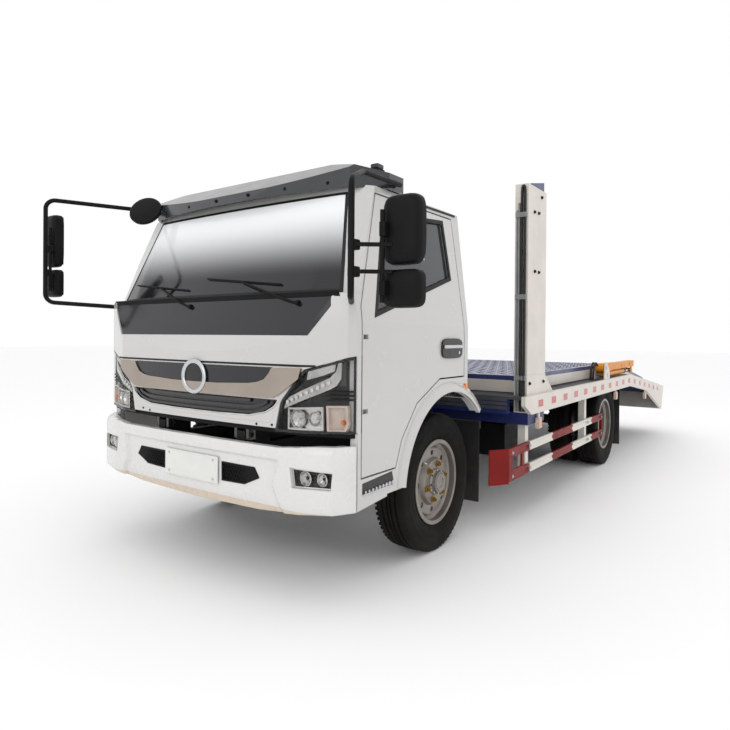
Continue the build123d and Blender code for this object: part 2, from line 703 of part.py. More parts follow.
def spring_pack(axle, seat_z, half_length, x):
    """One leaf pack, bowed between its hangers and the axle's seat."""
    with BuildPart() as pack:
        with BuildSketch(Plane.YZ.offset(x - spring_width / 2)):
            with BuildLine():
                ThreePointArc((axle - half_length, rail_bottom), (axle, seat_z),
                              (axle + half_length, rail_bottom))
                Line((axle + half_length, rail_bottom), (axle + half_length - 60, rail_bottom))
                ThreePointArc((axle + half_length - 60, rail_bottom), (axle, seat_z + 48),
                              (axle - half_length + 60, rail_bottom))
                Line((axle - half_length + 60, rail_bottom), (axle - half_length, rail_bottom))
            make_face()
        extrude(amount=spring_width)
    return pack.part


rear_tube = 50.0
# columns: axle, height of the seat, half length
spring_table = (
    (front_axle, beam_bottom + beam_height, 600.0),
    (rear_axle, tyre_radius + rear_tube, 620.0),
)
with BuildPart() as leaf_springs:
    for axle, seat_z, half_length in spring_table:
        for side in (1, -1):
            add(spring_pack(axle, seat_z, half_length, side * spring_x))

stub_radius = 40.0
stub_end = rear_flange_x - flange_width / 2 - 112.0
nose_length = 240.0
shaft_drop = math.degrees(math.atan2(shaft_z - tyre_radius, rear_axle - nose_length - shaft_front))
with BuildPart() as rear_axle_housing:
    with Locations(Location((0, rear_axle, tyre_radius), (0, 90, 0))):
        Cylinder(rear_tube, 2 * 600)
        Cylinder(stub_radius, 2 * stub_end)
    with Locations((0, rear_axle, tyre_radius)):
        Sphere(165)
    with Locations(Location((0, rear_axle, tyre_radius), (90, 0, 0))):
        Cylinder(60, nose_length, align=(Align.CENTER, Align.CENTER, Align.MIN))
    with Locations(Location((0, shaft_front, shaft_z), (-90, 0, 0))):
        Cylinder(44, 34, align=(Align.CENTER, Align.CENTER, Align.MIN))
    with Locations(Location((0, shaft_front + 6, shaft_z), (-90 - shaft_drop, 0, 0))):
        Cylinder(34, rear_axle - nose_length - shaft_front + 30,
                 align=(Align.CENTER, Align.CENTER, Align.MIN))


# Wheels, drawn as half sections: distance outwards from the tyre's middle, then radius
def ring(section, x_mid, axle, side, name):
    """A solid turned about an axle's line; side mirrors the section."""
    with BuildPart() as turned:
        with BuildSketch(Plane.XY):
            Polygon(*[(side * (x_mid + x), axle + radius) for x, radius in section], align=None)
        revolve(axis=Axis((0, axle, 0), (1, 0, 0)))
    turned.part.label = name
    return turned.part.moved(Location((0, 0, tyre_radius)))


half_tyre = tyre_width / 2
half_rim = flange_width / 2
seat_radius = bead_radius - rim_wall
tyre_section = ((-78, bead_radius + seat_gap), (-half_rim + 9.5, rim_radius + 3), (-half_tyre, 325),
                (-half_tyre + 7, 408), (-82, tyre_radius), (82, tyre_radius), (half_tyre - 7, 408),
                (half_tyre, 325), (half_rim - 9.5, rim_radius + 3), (78, bead_radius + seat_gap))
well_inner = 214.0
well_outer = 222.0
barrel_section = ((-half_rim, rim_radius), (-half_rim + 8, rim_radius), (-half_rim + 9, bead_radius),
                  (-44, bead_radius), (-26, well_outer), (26, well_outer), (44, bead_radius),
                  (half_rim - 9, bead_radius), (half_rim - 8, rim_radius), (half_rim, rim_radius),
                  (half_rim, seat_radius), (52, seat_radius), (34, well_inner), (-34, well_inner),
                  (-52, seat_radius), (-half_rim, seat_radius))
front_disc = ((20, 218), (30, 218), (52, 206), (52, 150), (76, 138), (76, 60), (66, 60), (66, 130),
              (42, 143), (42, 200), (20, 212))
rear_disc = ((-30, 218), (-40, 218), (-100, 196), (-126, 160), (-126, 60), (-136, 60), (-136, 165),
             (-108, 203), (-40, 226), (-30, 226))
front_bore = spindle_radius + pin_gap
front_hub = ((-40, front_bore), (-40, hub_radius), (66, hub_radius), (70, 84), (84, 80), (92, 70),
             (112, 66), (116, 0), (68, 0), (68, front_bore))
rear_bore = stub_radius + pin_gap
rear_hub = ((-300, rear_bore), (-300, 110), (-136, 110), (-120, 105), (-112, 74), (-60, 70), (-56, 0),
            (-108, 0), (-108, rear_bore))
front_mid = front_flange_x - half_rim
outer_mid = rear_flange_x - half_rim
inner_mid = outer_mid - twin_spacing
mirrored_rear_disc = [(-x, radius) for x, radius in rear_disc]
hand_hole = 26.0

wheels = {}
for name, side in (("left", 1), ("right", -1)):
    wheels["front_tyre_" + name] = ring(tyre_section, front_mid, front_axle, side, "front_tyre")
    with BuildPart() as front_rim:
        add(ring(barrel_section, front_mid, front_axle, side, "barrel"))
        add(ring(front_disc, front_mid, front_axle, side, "disc"))
        add(ring(front_hub, front_mid, front_axle, side, "hub"))
        with BuildSketch(Plane(origin=(side * (front_mid + 20), front_axle, tyre_radius),
                               z_dir=(side, 0, 0))):
            with PolarLocations(178, 8):
                Circle(hand_hole / 2 + 4)
        extrude(amount=50, mode=Mode.SUBTRACT)
    wheels["front_rim_" + name] = front_rim.part
    with BuildPart() as rear_tyres:
        add(ring(tyre_section, outer_mid, rear_axle, side, "outer"))
        add(ring(tyre_section, inner_mid, rear_axle, side, "inner"))
    wheels["rear_tyres_" + name] = rear_tyres.part
    with BuildPart() as rear_rims:
        add(ring(barrel_section, outer_mid, rear_axle, side, "barrel"))
        add(ring(rear_disc, outer_mid, rear_axle, side, "disc"))
        add(ring(barrel_section, inner_mid, rear_axle, side, "barrel"))
        add(ring(mirrored_rear_disc, inner_mid, rear_axle, side, "disc"))
        add(ring(rear_hub, outer_mid, rear_axle, side, "hub"))
    wheels["rear_rims_" + name] = rear_rims.part
    wheels["knuckle_" + name] = knuckle(side)

# Tanks and boxes hung on the rails, below the bed's long beams
beam_low = 660.0
hang_top = beam_low - seat_gap
battery_size = (580.0, 460.0, 250.0)
with BuildPart() as battery_box:
    with Locations((rail_outer + battery_size[0] / 2, front_axle + 1300, hang_top - battery_size[2] / 2)):
        Box(*battery_size)
tank_radius = 105.0
with BuildPart() as tanks:
    with Locations(Location((rail_outer + 45 + tank_radius, front_axle + 2150, 535), (90, 0, 0))):
        Cylinder(tank_radius, 720)
    for shift in (-240, 240):
        with Locations((rail_outer + 35, front_axle + 2150 + shift, 600)):
            Box(70, 60, 70)
    with BuildSketch(Plane.XZ.offset(-front_axle - 1500)):
        with Locations((-rail_outer - 290, hang_top - 190)):
            RectangleRounded(580, 380, 60)
    extrude(amount=-850)
with BuildPart() as silencer:
    with Locations(Location((-rail_outer - 200, front_axle + 860, 560), (90, 0, 0))):
        Cylinder(115, 420)
    with Locations((-rail_outer - 50, front_axle + 860, hang_top - 45)):
        Box(100, 60, 90)

# Bed frame: two long beams beside the rails, cross members and the posts' outriggers
beam_x = rail_outer
beam_wide = 60.0
beam_high = 800.0
deck_under = deck_top - deck_thickness
# columns: station behind the front axle, how far its ends stand inside the side rails; the one over the
# axle ends inside the tyres
bed_members = (
    (1480.0, 104.0), (2080.0, 104.0), (2660.0, 104.0), (3270.0, 604.0), (3900.0, 9.0),
    (4500.0, 9.0), (5100.0, 9.0), (5700.0, 9.0), (6150.0, 9.0),
)
member_wide = 60.0
tail_inside = tail_end - 145.0


def sloped(points):
    """Turn y, z pairs into the same line carried down the tail's slope."""
    return [(y, slope_z(y, z)) for y, z in points]


def side_band(low, high, y_from, y_to):
    """Side outline of a strip between two heights that bends at the hump."""
    ends = [y_from] + ([hump_y] if y_from < hump_y < y_to else []) + [y_to]
    return sloped([(y, high) for y in ends]) + sloped([(y, low) for y in reversed(ends)])


with BuildPart() as bed_frame:
    for side in (1, -1):
        with BuildSketch(Plane.YZ.offset(beam_x if side > 0 else -beam_x - beam_wide)):
            Polygon(*side_band(beam_low, beam_high, deck_front, tail_inside), align=None)
        extrude(amount=beam_wide)
        with Locations((side * (beam_x + beam_wide + post_outer) / 2, post_front + post_length / 2,
                        post_bottom - 45)):
            Box(post_outer - beam_x - beam_wide, post_length - 40, 90)
    for station, setback in bed_members:
        start = front_axle + station
        half = post_outer - setback
        with BuildSketch(Plane.YZ.offset(-half)):
            Polygon(*side_band(beam_high, deck_under, start, start + member_wide), align=None)
        extrude(amount=2 * half)
    with Locations((0, deck_front + 25, (deck_under + 785) / 2)):
        Box(2 * post_outer - 208, 50, deck_under - 785)
with BuildPart() as lower_deck:
    with BuildSketch(Plane.YZ.offset(-post_outer)):
        Polygon(*side_band(deck_under, deck_top, deck_front, tail_end - 12), align=None)
    extrude(amount=2 * post_outer)
    for side in (1, -1):
        with Locations((side * (post_outer - post_depth / 2), post_front + post_length / 2, deck_top)):
            Box(post_depth + 2 * seat_gap, post_length + 2 * seat_gap, 100, mode=Mode.SUBTRACT)

tail_bottom_y = tail_end - 147.0
tail_bottom_z = 324.0
rail_line = deck_top + 3.0
rail_under = rail_line - side_height
side_rail_outline = [
    (deck_front, rail_line), (deck_front, rail_line - 65), (deck_front + 130, rail_under),
    (hump_y, rail_under),
    (tail_end - 1252, slope_z(tail_end - 1252, rail_under)), (tail_bottom_y, tail_bottom_z),
    (tail_end, slope_z(tail_end, rail_line)), (hump_y, rail_line),
]
rails = {}
for name, side in (("left", 1), ("right", -1)):
    with BuildPart() as side_rail:
        with BuildSketch(Plane.YZ.offset(post_outer if side > 0 else -bed_half)):
            Polygon(*side_rail_outline, align=None)
        extrude(amount=side_plate)
    rails["side_rail_" + name] = side_rail.part
with BuildPart() as tail_plate:
    with BuildSketch(Plane.YZ.offset(-post_outer)):
        Polygon((tail_end - 12, slope_z(tail_end - 12, deck_under)), (tail_bottom_y, tail_bottom_z),
                (tail_bottom_y - 14, tail_bottom_z + 6),
                (tail_end - 27, slope_z(tail_end - 27, deck_under)), align=None)
    extrude(amount=2 * post_outer)

# Lift posts: channels open inwards, with a flared foot behind
slot_width = 245.0
wedge_front = 21.0
wedge_back = 76.0
wedge_width = 60.0
posts = {}
for name, side in (("left", 1), ("right", -1)):
    with BuildPart() as post:
        with BuildSketch(Plane.XY.offset(post_bottom)):
            with Locations((side * (post_outer - post_depth / 2), post_front + post_length / 2)):
                Rectangle(post_depth, post_length)
                Rectangle(post_depth - 2 * post_wall, post_length - 2 * post_wall, mode=Mode.SUBTRACT)
            with Locations((side * (post_outer - post_depth + post_wall / 2), post_front + post_length / 2)):
                Rectangle(post_wall + 2, slot_width, mode=Mode.SUBTRACT)
        extrude(amount=post_top - post_bottom)
        with Locations((side * (post_outer - post_depth / 2), post_front + post_length / 2, post_top - 6)):
            Box(post_depth, post_length, 12)
        with BuildSketch(Plane.YZ.offset(side * post_outer)):
            Polygon((post_front + post_length, 1050), (post_front + post_length + 185, 915),
                    (post_front + post_length, 915), align=None)
        extrude(amount=-side * 50)
        # wedge that covers the post's head pulley
        with BuildSketch(Plane.YZ.offset(side * (post_outer - 10))):
            Polygon((post_front + 104, post_top - 6), (post_front + 362, post_top - 6),
                    (post_front + 362, post_top + wedge_back), (post_front + 104, post_top + wedge_front),
                    align=None)
        extrude(amount=-side * wedge_width)
    posts["lift_post_" + name] = post.part

# Upper deck: side beams, floor, cross beams and the carriages that run in the posts
upper_end = front_axle + 5840.0
upper_top = upper_bottom + upper_height
with BuildPart() as upper_deck:
    for x_from in (upper_half - beam_width, -upper_half):
        with BuildSketch(Plane.YZ.offset(x_from)):
            Polygon((upper_front, upper_bottom), (upper_front, upper_top), (hump_y, upper_top),
                    (upper_end - 140, 800), (upper_end, 765),
                    (upper_end, slope_z(upper_end, upper_bottom)), (hump_y, upper_bottom), align=None)
        extrude(amount=beam_width)
    with BuildSketch(Plane.YZ.offset(-upper_half + beam_width)):
        Polygon((upper_front, upper_top - 35), (upper_front, upper_top - 15), (hump_y, upper_top - 15),
                (upper_end - 140, 785), (upper_end, 750), (upper_end, 735), (upper_end - 140, 765),
                (hump_y, upper_top - 35), align=None)
    extrude(amount=2 * (upper_half - beam_width))
    for station in (0.0, 600.0, 1200.0, 1800.0, 2400.0, 3000.0):
        with Locations((0, upper_front + station + 25, (upper_bottom + upper_top - 15) / 2)):
            Box(2 * upper_half - 2, 50, upper_height - 15)
    with Locations((0, upper_front + 25, (upper_bottom + upper_top) / 2)):
        Box(2 * upper_half, 50, upper_height)
    for side in (1, -1):
        post_y = post_front + post_length / 2
        with Locations((side * (post_outer - post_depth / 2), post_y, upper_bottom + 130)):
            Box(post_depth - 2 * post_wall - 6, post_length - 2 * (post_wall + guide_gap), 250)
        with Locations((side * (upper_half + post_outer - post_depth + 34) / 2, post_y, upper_bottom + 60)):
            Box(post_outer - post_depth + 34 - upper_half + 10, slot_width - 45, 100)

# Swing arms with their cylinders
arm_pin = 15.0
cheek = 12.0
arms = {}
for name, side in (("left", 1), ("right", -1)):
    base_y = arm_pivot_y + cylinder_base_shift
    base_z = arm_pivot_z - cylinder_drop
    eye_y = arm_pivot_y + cylinder_eye_shift
    with BuildPart() as clevis:
        cheek_shift = arm_width / 2 + 6 + cheek / 2
        for x, low in ((arm_x + cheek_shift, rail_line), (arm_x - cheek_shift, deck_top)):
            with BuildSketch(Plane.YZ.offset(side * x - cheek / 2)):
                Polygon((arm_pivot_y - 60, low), (arm_pivot_y - 42, arm_pivot_z + 44),
                        (arm_pivot_y + 42, arm_pivot_z + 44), (arm_pivot_y + 140, base_z + 30),
                        (arm_pivot_y + 150, low), align=None)
            extrude(amount=cheek)
        with Locations(Location((side * arm_x, arm_pivot_y, arm_pivot_z), (0, 90, 0))):
            Cylinder(arm_pin, arm_width + 12 + 2 * cheek)
        with Locations(Location((side * arm_x, base_y, base_z), (0, 90, 0))):
            Cylinder(cylinder_pin, arm_width + 12 + 2 * cheek)
    with BuildPart() as arm:
        with BuildSketch(Plane.YZ.offset(side * arm_x - arm_width / 2)):
            with Locations((arm_pivot_y + 165, arm_pivot_z)):
                Rectangle(330, arm_height)
            with Locations((arm_pivot_y, arm_pivot_z)):
                Circle(arm_height / 2)
        extrude(amount=arm_width)
        with Locations((side * arm_x, arm_pivot_y + (330 + arm_length) / 2, arm_pivot_z)):
            Box(arm_width - 12, arm_length - 330, arm_height - 10)
        for shift in (arm_width / 2 - 11, -arm_width / 2 + 11):
            with Locations((side * arm_x + shift, eye_y, arm_pivot_z - 68)):
                Box(10, 80, 66)
        with Locations(Location((side * arm_x, arm_pivot_y, arm_pivot_z), (0, 90, 0))):
            Cylinder(arm_pin + pin_gap, arm_width + 4, mode=Mode.SUBTRACT)
    with BuildPart() as cylinder_tube:
        with Locations(Location((side * arm_x, base_y + 20, base_z), (-90, 0, 0))):
            Cylinder(cylinder_radius, 930, align=(Align.CENTER, Align.CENTER, Align.MIN))
        with Locations(Location((side * arm_x, base_y + 400, base_z), (-90, 0, 0))):
            Cylinder(rod_radius + pin_gap, 600, align=(Align.CENTER, Align.CENTER, Align.MIN),
                     mode=Mode.SUBTRACT)
        with Locations(Location((side * arm_x, base_y, base_z), (0, 90, 0))):
            Cylinder(eye_radius, 48)
            Cylinder(cylinder_pin + pin_gap, 60, mode=Mode.SUBTRACT)
    with BuildPart() as cylinder_rod:
        with Locations(Location((side * arm_x, base_y + 560, base_z), (-90, 0, 0))):
            Cylinder(rod_radius, eye_y - base_y - 560, align=(Align.CENTER, Align.CENTER, Align.MIN))
        with Locations(Location((side * arm_x, eye_y, base_z), (0, 90, 0))):
            Cylinder(eye_radius, 44)
    arms["arm_clevis_" + name] = clevis.part
    arms["swing_arm_" + name] = arm.part
    arms["cylinder_tube_" + name] = cylinder_tube.part
    arms["cylinder_rod_" + name] = cylinder_rod.part

# Side guards: two bars on two posts, a bent front plate and a rear end
guard_outer = bed_half - 48.0
guard_bar = 24.0
guard_front = front_axle + 579.0
guard_back = front_axle + 3065.0
guard_posts = ((980.0, post_bottom - 90), (2530.0, deck_under))
guards = {}
for name, side in (("left", 1), ("right", -1)):
    with BuildPart() as guard:
        for z in (537.0, 375.0):
            with Locations((side * (guard_outer - guard_bar / 2), (guard_front + guard_back) / 2, z)):
                Box(guard_bar, guard_back - guard_front, 66)
        for y in (guard_front + 20, guard_back - 10):
            with Locations((side * (guard_outer - guard_bar / 2), y, 456)):
                Box(guard_bar, 20, 228)
        with BuildSketch(Plane.XY.offset(331)):
            Polygon((side * guard_outer, guard_front), (side * (guard_outer - 86), guard_front - 129),
                    (side * (guard_outer - 96), guard_front - 124),
                    (side * (guard_outer - 14), guard_front + 6),
                    (side * (guard_outer - 14), guard_front + 30), (side * guard_outer, guard_front + 30),
                    align=None)
        extrude(amount=241)
        for station, top in guard_posts:
            with Locations((side * (guard_outer - guard_bar - 30), front_axle + station, (342 + top) / 2)):
                Box(60, 60, top - 342)
    guards["side_guard_" + name] = guard.part

# Flaps and lamps
with BuildPart() as front_mudflaps:
    for side in (1, -1):
        with Locations((side * (cab_half - 195), front_axle + 579, (175 + 740) / 2)):
            Box(260, 8, 740 - 175)
        with Locations((side * (rail_outer + cab_half - 65) / 2, front_axle + 596, 715)):
            Box(cab_half - 65 - rail_outer, 26, 50)
with BuildPart() as rear_mudflaps:
    for side in (1, -1):
        with Locations((side * 900, front_axle + 3930, (130 + beam_high) / 2)):
            Box(520, 10, beam_high - 130)
# columns: station behind the front axle, height
marker_table = ((1070.0, 700.0), (3480.0, 720.0), (5050.0, 600.0))
with BuildPart() as marker_lamps:
    for station, z in marker_table:
        for side in (1, -1):
            top = slope_z(front_axle + station + 15, rail_under)
            with Locations((side * (bed_half - 16), front_axle + station, z)):
                Box(24, 70, 80)
            with Locations((side * (bed_half - 16), front_axle + station, (z + 40 + top) / 2)):
                Box(8, 30, top - z - 40)
tail_rise = slope_z(tail_end - 12, deck_under) - tail_bottom_z
tail_lean = math.degrees(math.atan2(tail_end - 12 - tail_bottom_y, tail_rise))
tail_mid_y = (tail_end - 12 + tail_bottom_y) / 2
tail_mid_z = (slope_z(tail_end - 12, deck_under) + tail_bottom_z) / 2
with BuildPart() as tail_lamps:
    for side in (1, -1):
        with Locations(Location((side * 960, tail_mid_y, tail_mid_z), (-tail_lean, 0, 0))):
            with Locations((0, 12, 0)):
                Box(330, 24, 120)

# Every piece under its own name; pieces that one body carries as a pair share a name
tail_and_rails = rails["side_rail_left"] + rails["side_rail_right"] + tail_plate.part
pieces = {
    "cab_shell": cab_shell.part + door_hinges.part,
    "cab_glass": windscreen + rear_glass.part,
    "cowl_panel": cowl_panel,
    "grille": grille,
    "headlamps": headlamps,
    "chrome_band": chrome_band,
    "visor": visor.part,
    "dashboard": dashboard.part,
    "seats": seats.part,
    "steering_wheel": steering_wheel.part,
    "mirror_frames": mirrors["mirror_frame_left"] + mirrors["mirror_frame_right"],
    "mirror_heads": mirrors["mirror_heads_left"] + mirrors["mirror_heads_right"] + mirrors["front_mirror"],
    "bumper": bumper.part,
    "bumper_grilles": bumper_grilles.part,
    "fog_lamps": fog_lamps.part,
    "number_plate": number_plate.part,
    "chassis_frame": chassis_frame.part,
    "engine_block": engine_block.part,
    "front_axle_beam": front_axle_beam.part,
    "leaf_springs": leaf_springs.part,
    "rear_axle": rear_axle_housing.part,
    "battery_box": battery_box.part,
    "tanks": tanks.part,
    "silencer": silencer.part,
    "bed_frame": bed_frame.part,
    "lower_deck": lower_deck.part,
    "side_rails": tail_and_rails,
    "lift_posts": posts["lift_post_left"] + posts["lift_post_right"],
    "arm_clevises": arms.pop("arm_clevis_left") + arms.pop("arm_clevis_right"),
    "side_guards": guards["side_guard_left"] + guards["side_guard_right"],
    "mudflaps": front_mudflaps.part + rear_mudflaps.part,
    "marker_lamps": marker_lamps.part,
    "tail_lamps": tail_lamps.part,
    "upper_deck": upper_deck.part,
}
for group in (doors, wheels, arms):
    pieces.update(group)

os.makedirs("parts", exist_ok=True)
for name, piece in pieces.items():
    piece.label = name
    export_step(piece, "parts/" + name + ".step")
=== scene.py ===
"""Finishes and small parts of a flatbed recovery truck, built around its solid model.

Metres throughout. +X is the vehicle's left side, +Y runs to the rear and +Z is up.
"""
import math

import bmesh
import bpy
from bpy.props import FloatProperty, FloatVectorProperty, IntProperty, PointerProperty
from mathutils import Matrix, Vector


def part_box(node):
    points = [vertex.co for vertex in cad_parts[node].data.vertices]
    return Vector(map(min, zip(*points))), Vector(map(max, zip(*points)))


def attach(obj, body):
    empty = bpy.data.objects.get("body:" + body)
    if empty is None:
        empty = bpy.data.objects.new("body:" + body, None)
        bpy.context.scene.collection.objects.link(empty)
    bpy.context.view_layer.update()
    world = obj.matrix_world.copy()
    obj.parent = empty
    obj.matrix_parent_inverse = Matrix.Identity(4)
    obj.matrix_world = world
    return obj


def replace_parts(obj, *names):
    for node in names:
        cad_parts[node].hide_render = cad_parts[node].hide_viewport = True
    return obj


bl_info = {
    "name": "Flatbed recovery truck",
    "version": (1, 0, 0),
    "blender": (4, 5, 0),
    "location": "View3D > Sidebar > Truck",
    "description": "Finishes and small parts of a flatbed recovery truck around its solid model",
    "category": "Object",
}

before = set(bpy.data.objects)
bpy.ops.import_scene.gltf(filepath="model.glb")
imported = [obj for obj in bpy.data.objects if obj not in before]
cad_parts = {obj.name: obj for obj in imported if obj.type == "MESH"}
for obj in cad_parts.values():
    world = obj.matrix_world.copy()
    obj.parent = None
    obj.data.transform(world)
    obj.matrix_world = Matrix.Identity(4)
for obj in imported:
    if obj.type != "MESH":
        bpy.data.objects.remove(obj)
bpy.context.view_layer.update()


def middle(node):
    """The middle of a node's box."""
    low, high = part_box(node)
    return Vector([(a + b) / 2 for a, b in zip(low, high)])


FRONT_HUB = middle("front_tyre_left")
REAR_HUB = middle("rear_tyres_left")
FRONT_AXLE = FRONT_HUB.y
SIDES = (("left", 1), ("right", -1))

# Faces of the cab, the bumper and the bed
FACE_Y = FRONT_AXLE - 1.118
CAB_HALF = 1.030
NOSE_FLAT = 0.74 * CAB_HALF
NOSE_SAG = 0.026
NOSE_RADIUS = (NOSE_FLAT ** 2 + NOSE_SAG ** 2) / (2 * NOSE_SAG)
CORNER_Y = FRONT_AXLE - 0.968
EDGE_WIDTH, EDGE_FALL = 0.030, 0.040
CORNER_X = CAB_HALF - EDGE_WIDTH
LEAN_FROM, LEAN_TO, LEAN_BACK = 1.240, 1.545, 0.088
SCREEN_LEAN = 0.43
SCREEN_TURN = 0.054 / 0.218
BUMPER_FACE = FRONT_AXLE - 1.145
BUMPER_FLAT, BUMPER_SAG = 0.78, 0.026
BUMPER_TURN, CHEEK_FALL, TIP_WIDTH, TIP_FALL = 0.96, 0.052, 0.07, 0.087
WAIST, GUTTER, TUMBLE = 1.400, 2.130, 0.085
RAIL_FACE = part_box("side_rails")[1][0]
HUMP_Y = FRONT_AXLE + 4.150
TAIL_Y = FRONT_AXLE + 6.340
SLOPE = 0.268 / (TAIL_Y - HUMP_Y)
FLOOR_LENGTH, FLOOR_SLOPE = 1.69, 0.158
ARCH_Z = 0.448


# Materials
def link(tree, source, target):
    """Joins an output socket to an input socket."""
    tree.links.new(source, target)


def noise(tree, coordinates, scale, detail=4.0):
    """A noise texture on object coordinates; returns its value output."""
    node = tree.nodes.new("ShaderNodeTexNoise")
    node.inputs["Scale"].default_value = scale
    node.inputs["Detail"].default_value = detail
    link(tree, coordinates, node.inputs["Vector"])
    return node.outputs["Fac"]


def remap(tree, value, low, high, to_low, to_high):
    """Carries a value from one range to another, clamped."""
    node = tree.nodes.new("ShaderNodeMapRange")
    node.inputs["From Min"].default_value = low
    node.inputs["From Max"].default_value = high
    node.inputs["To Min"].default_value = to_low
    node.inputs["To Max"].default_value = to_high
    link(tree, value, node.inputs["Value"])
    return node.outputs["Result"]


def mixed(tree, factor, first, second):
    """Two colours mixed by a factor; each may be a colour or a socket."""
    node = tree.nodes.new("ShaderNodeMix")
    node.data_type = "RGBA"
    link(tree, factor, node.inputs["Factor"])
    for value, socket in ((first, node.inputs["A"]), (second, node.inputs["B"])):
        if isinstance(value, bpy.types.NodeSocket):
            link(tree, value, socket)
        else:
            socket.default_value = (*value[:3], 1.0)
    return node.outputs["Result"]


def math_node(tree, operation, first, second):
    """A math node on two values, each a number or a socket; a comparison gives 1 where it holds, else 0."""
    node = tree.nodes.new("ShaderNodeMath")
    node.operation = operation
    for index, value in enumerate((first, second)):
        if isinstance(value, bpy.types.NodeSocket):
            link(tree, value, node.inputs[index])
        else:
            node.inputs[index].default_value = value
    return node.outputs[0]


def multiplied(tree, first, second):
    """The product of two values."""
    return math_node(tree, "MULTIPLY", first, second)


def within(tree, value, low, high):
    """1 where a value lies between two limits, else 0."""
    return multiplied(tree, math_node(tree, "GREATER_THAN", value, low),
                      math_node(tree, "LESS_THAN", value, high))


def part_place(tree):
    """A place on the part."""
    return tree.nodes.new("ShaderNodeTexCoord").outputs["Object"]


def axes_of(tree, place):
    """The three coordinates of a place."""
    split = tree.nodes.new("ShaderNodeSeparateXYZ")
    link(tree, place, split.inputs["Vector"])
    return {axis: split.outputs[axis] for axis in "XYZ"}


finishes = {}


def finish(name, colour, roughness, metallic=0.0, coat=0.0, mottle=(5.0, 0.06), relief=(40.0, 0.0), dust=None,
           alpha=1.0, wear=0.0, edge=0.0, glow=0.0, sheen=0.5):
    """One finish: colour mottled by noise, uneven gloss, a fine relief, dust near the ground, worn specks and
    rounded edges.

    mottle and relief are (scale, amount); dust is (height where it ends, amount, colour).
    """
    material = bpy.data.materials.new(name)
    material.use_nodes = True
    material.diffuse_color = (*colour, 1.0)
    tree = material.node_tree
    shader = tree.nodes["Principled BSDF"]
    place = part_place(tree)
    darker = [c * (1.0 - 2.2 * mottle[1]) for c in colour]
    paint = colour
    if mottle[1]:
        paint = mixed(tree, remap(tree, noise(tree, place, mottle[0]), 0.35, 0.65, 0.0, 1.0), colour, darker)
    if wear:
        speck = remap(tree, noise(tree, place, 55.0, 8.0), 0.66, 0.72, 0.0, wear)
        paint = mixed(tree, speck, paint, [0.35 * c + 0.10 for c in colour])
    if dust:
        height = remap(tree, axes_of(tree, place)["Z"], 0.10, dust[0], dust[1], 0.0)
        patch = remap(tree, noise(tree, place, 9.0, 6.0), 0.30, 0.70, 0.25, 1.0)
        paint = mixed(tree, multiplied(tree, height, patch), paint, dust[2])
    if isinstance(paint, bpy.types.NodeSocket):
        link(tree, paint, shader.inputs["Base Color"])
    else:
        shader.inputs["Base Color"].default_value = (*colour, 1.0)
    gloss = remap(tree, noise(tree, place, 11.0), 0.3, 0.7, max(roughness - 0.06, 0.02),
                  min(roughness + 0.08, 1.0))
    link(tree, gloss, shader.inputs["Roughness"])
    shader.inputs["Metallic"].default_value = metallic
    shader.inputs["Coat Weight"].default_value = coat
    shader.inputs["Specular IOR Level"].default_value = sheen
    shader.inputs["Coat Roughness"].default_value = 0.06
    shader.inputs["Alpha"].default_value = alpha
    normal = None
    if edge:
        rounding = tree.nodes.new("ShaderNodeBevel")
        rounding.samples = 4
        rounding.inputs["Radius"].default_value = edge
        normal = rounding.outputs["Normal"]
    if relief[1]:
        bump = tree.nodes.new("ShaderNodeBump")
        bump.inputs["Strength"].default_value = relief[1]
        bump.inputs["Distance"].default_value = 0.002
        link(tree, noise(tree, place, relief[0], 6.0), bump.inputs["Height"])
        if normal:
            link(tree, normal, bump.inputs["Normal"])
        normal = bump.outputs["Normal"]
    if normal:
        link(tree, normal, shader.inputs["Normal"])
    if glow:
        shader.inputs["Emission Color"].default_value = (*colour, 1.0)
        shader.inputs["Emission Strength"].default_value = glow
    finishes[name] = material
    return material


def painted_reflection_glass(name, low, high, dark, pale, alpha):
    """Glass with a painted reflection: dark at its foot and pale at its top, between two heights."""
    material = finish(name, dark, 0.05, alpha=alpha, mottle=(2.0, 0.0))
    tree = material.node_tree
    shader = tree.nodes["Principled BSDF"]
    height = axes_of(tree, part_place(tree))["Z"]
    # the ramp paints a reflection onto the glass, dark low down and pale high up
    ramp = tree.nodes.new("ShaderNodeValToRGB")
    ramp.color_ramp.interpolation = "EASE"
    ramp.color_ramp.elements[0].position = 0.18
    ramp.color_ramp.elements[0].color = (*dark, 1.0)
    ramp.color_ramp.elements[1].position = 0.95
    ramp.color_ramp.elements[1].color = (*pale, 1.0)
    link(tree, remap(tree, height, low, high, 0.0, 1.0), ramp.inputs["Fac"])
    link(tree, ramp.outputs["Color"], shader.inputs["Base Color"])
    return material


ROAD_DUST = (0.30, 0.27, 0.23)


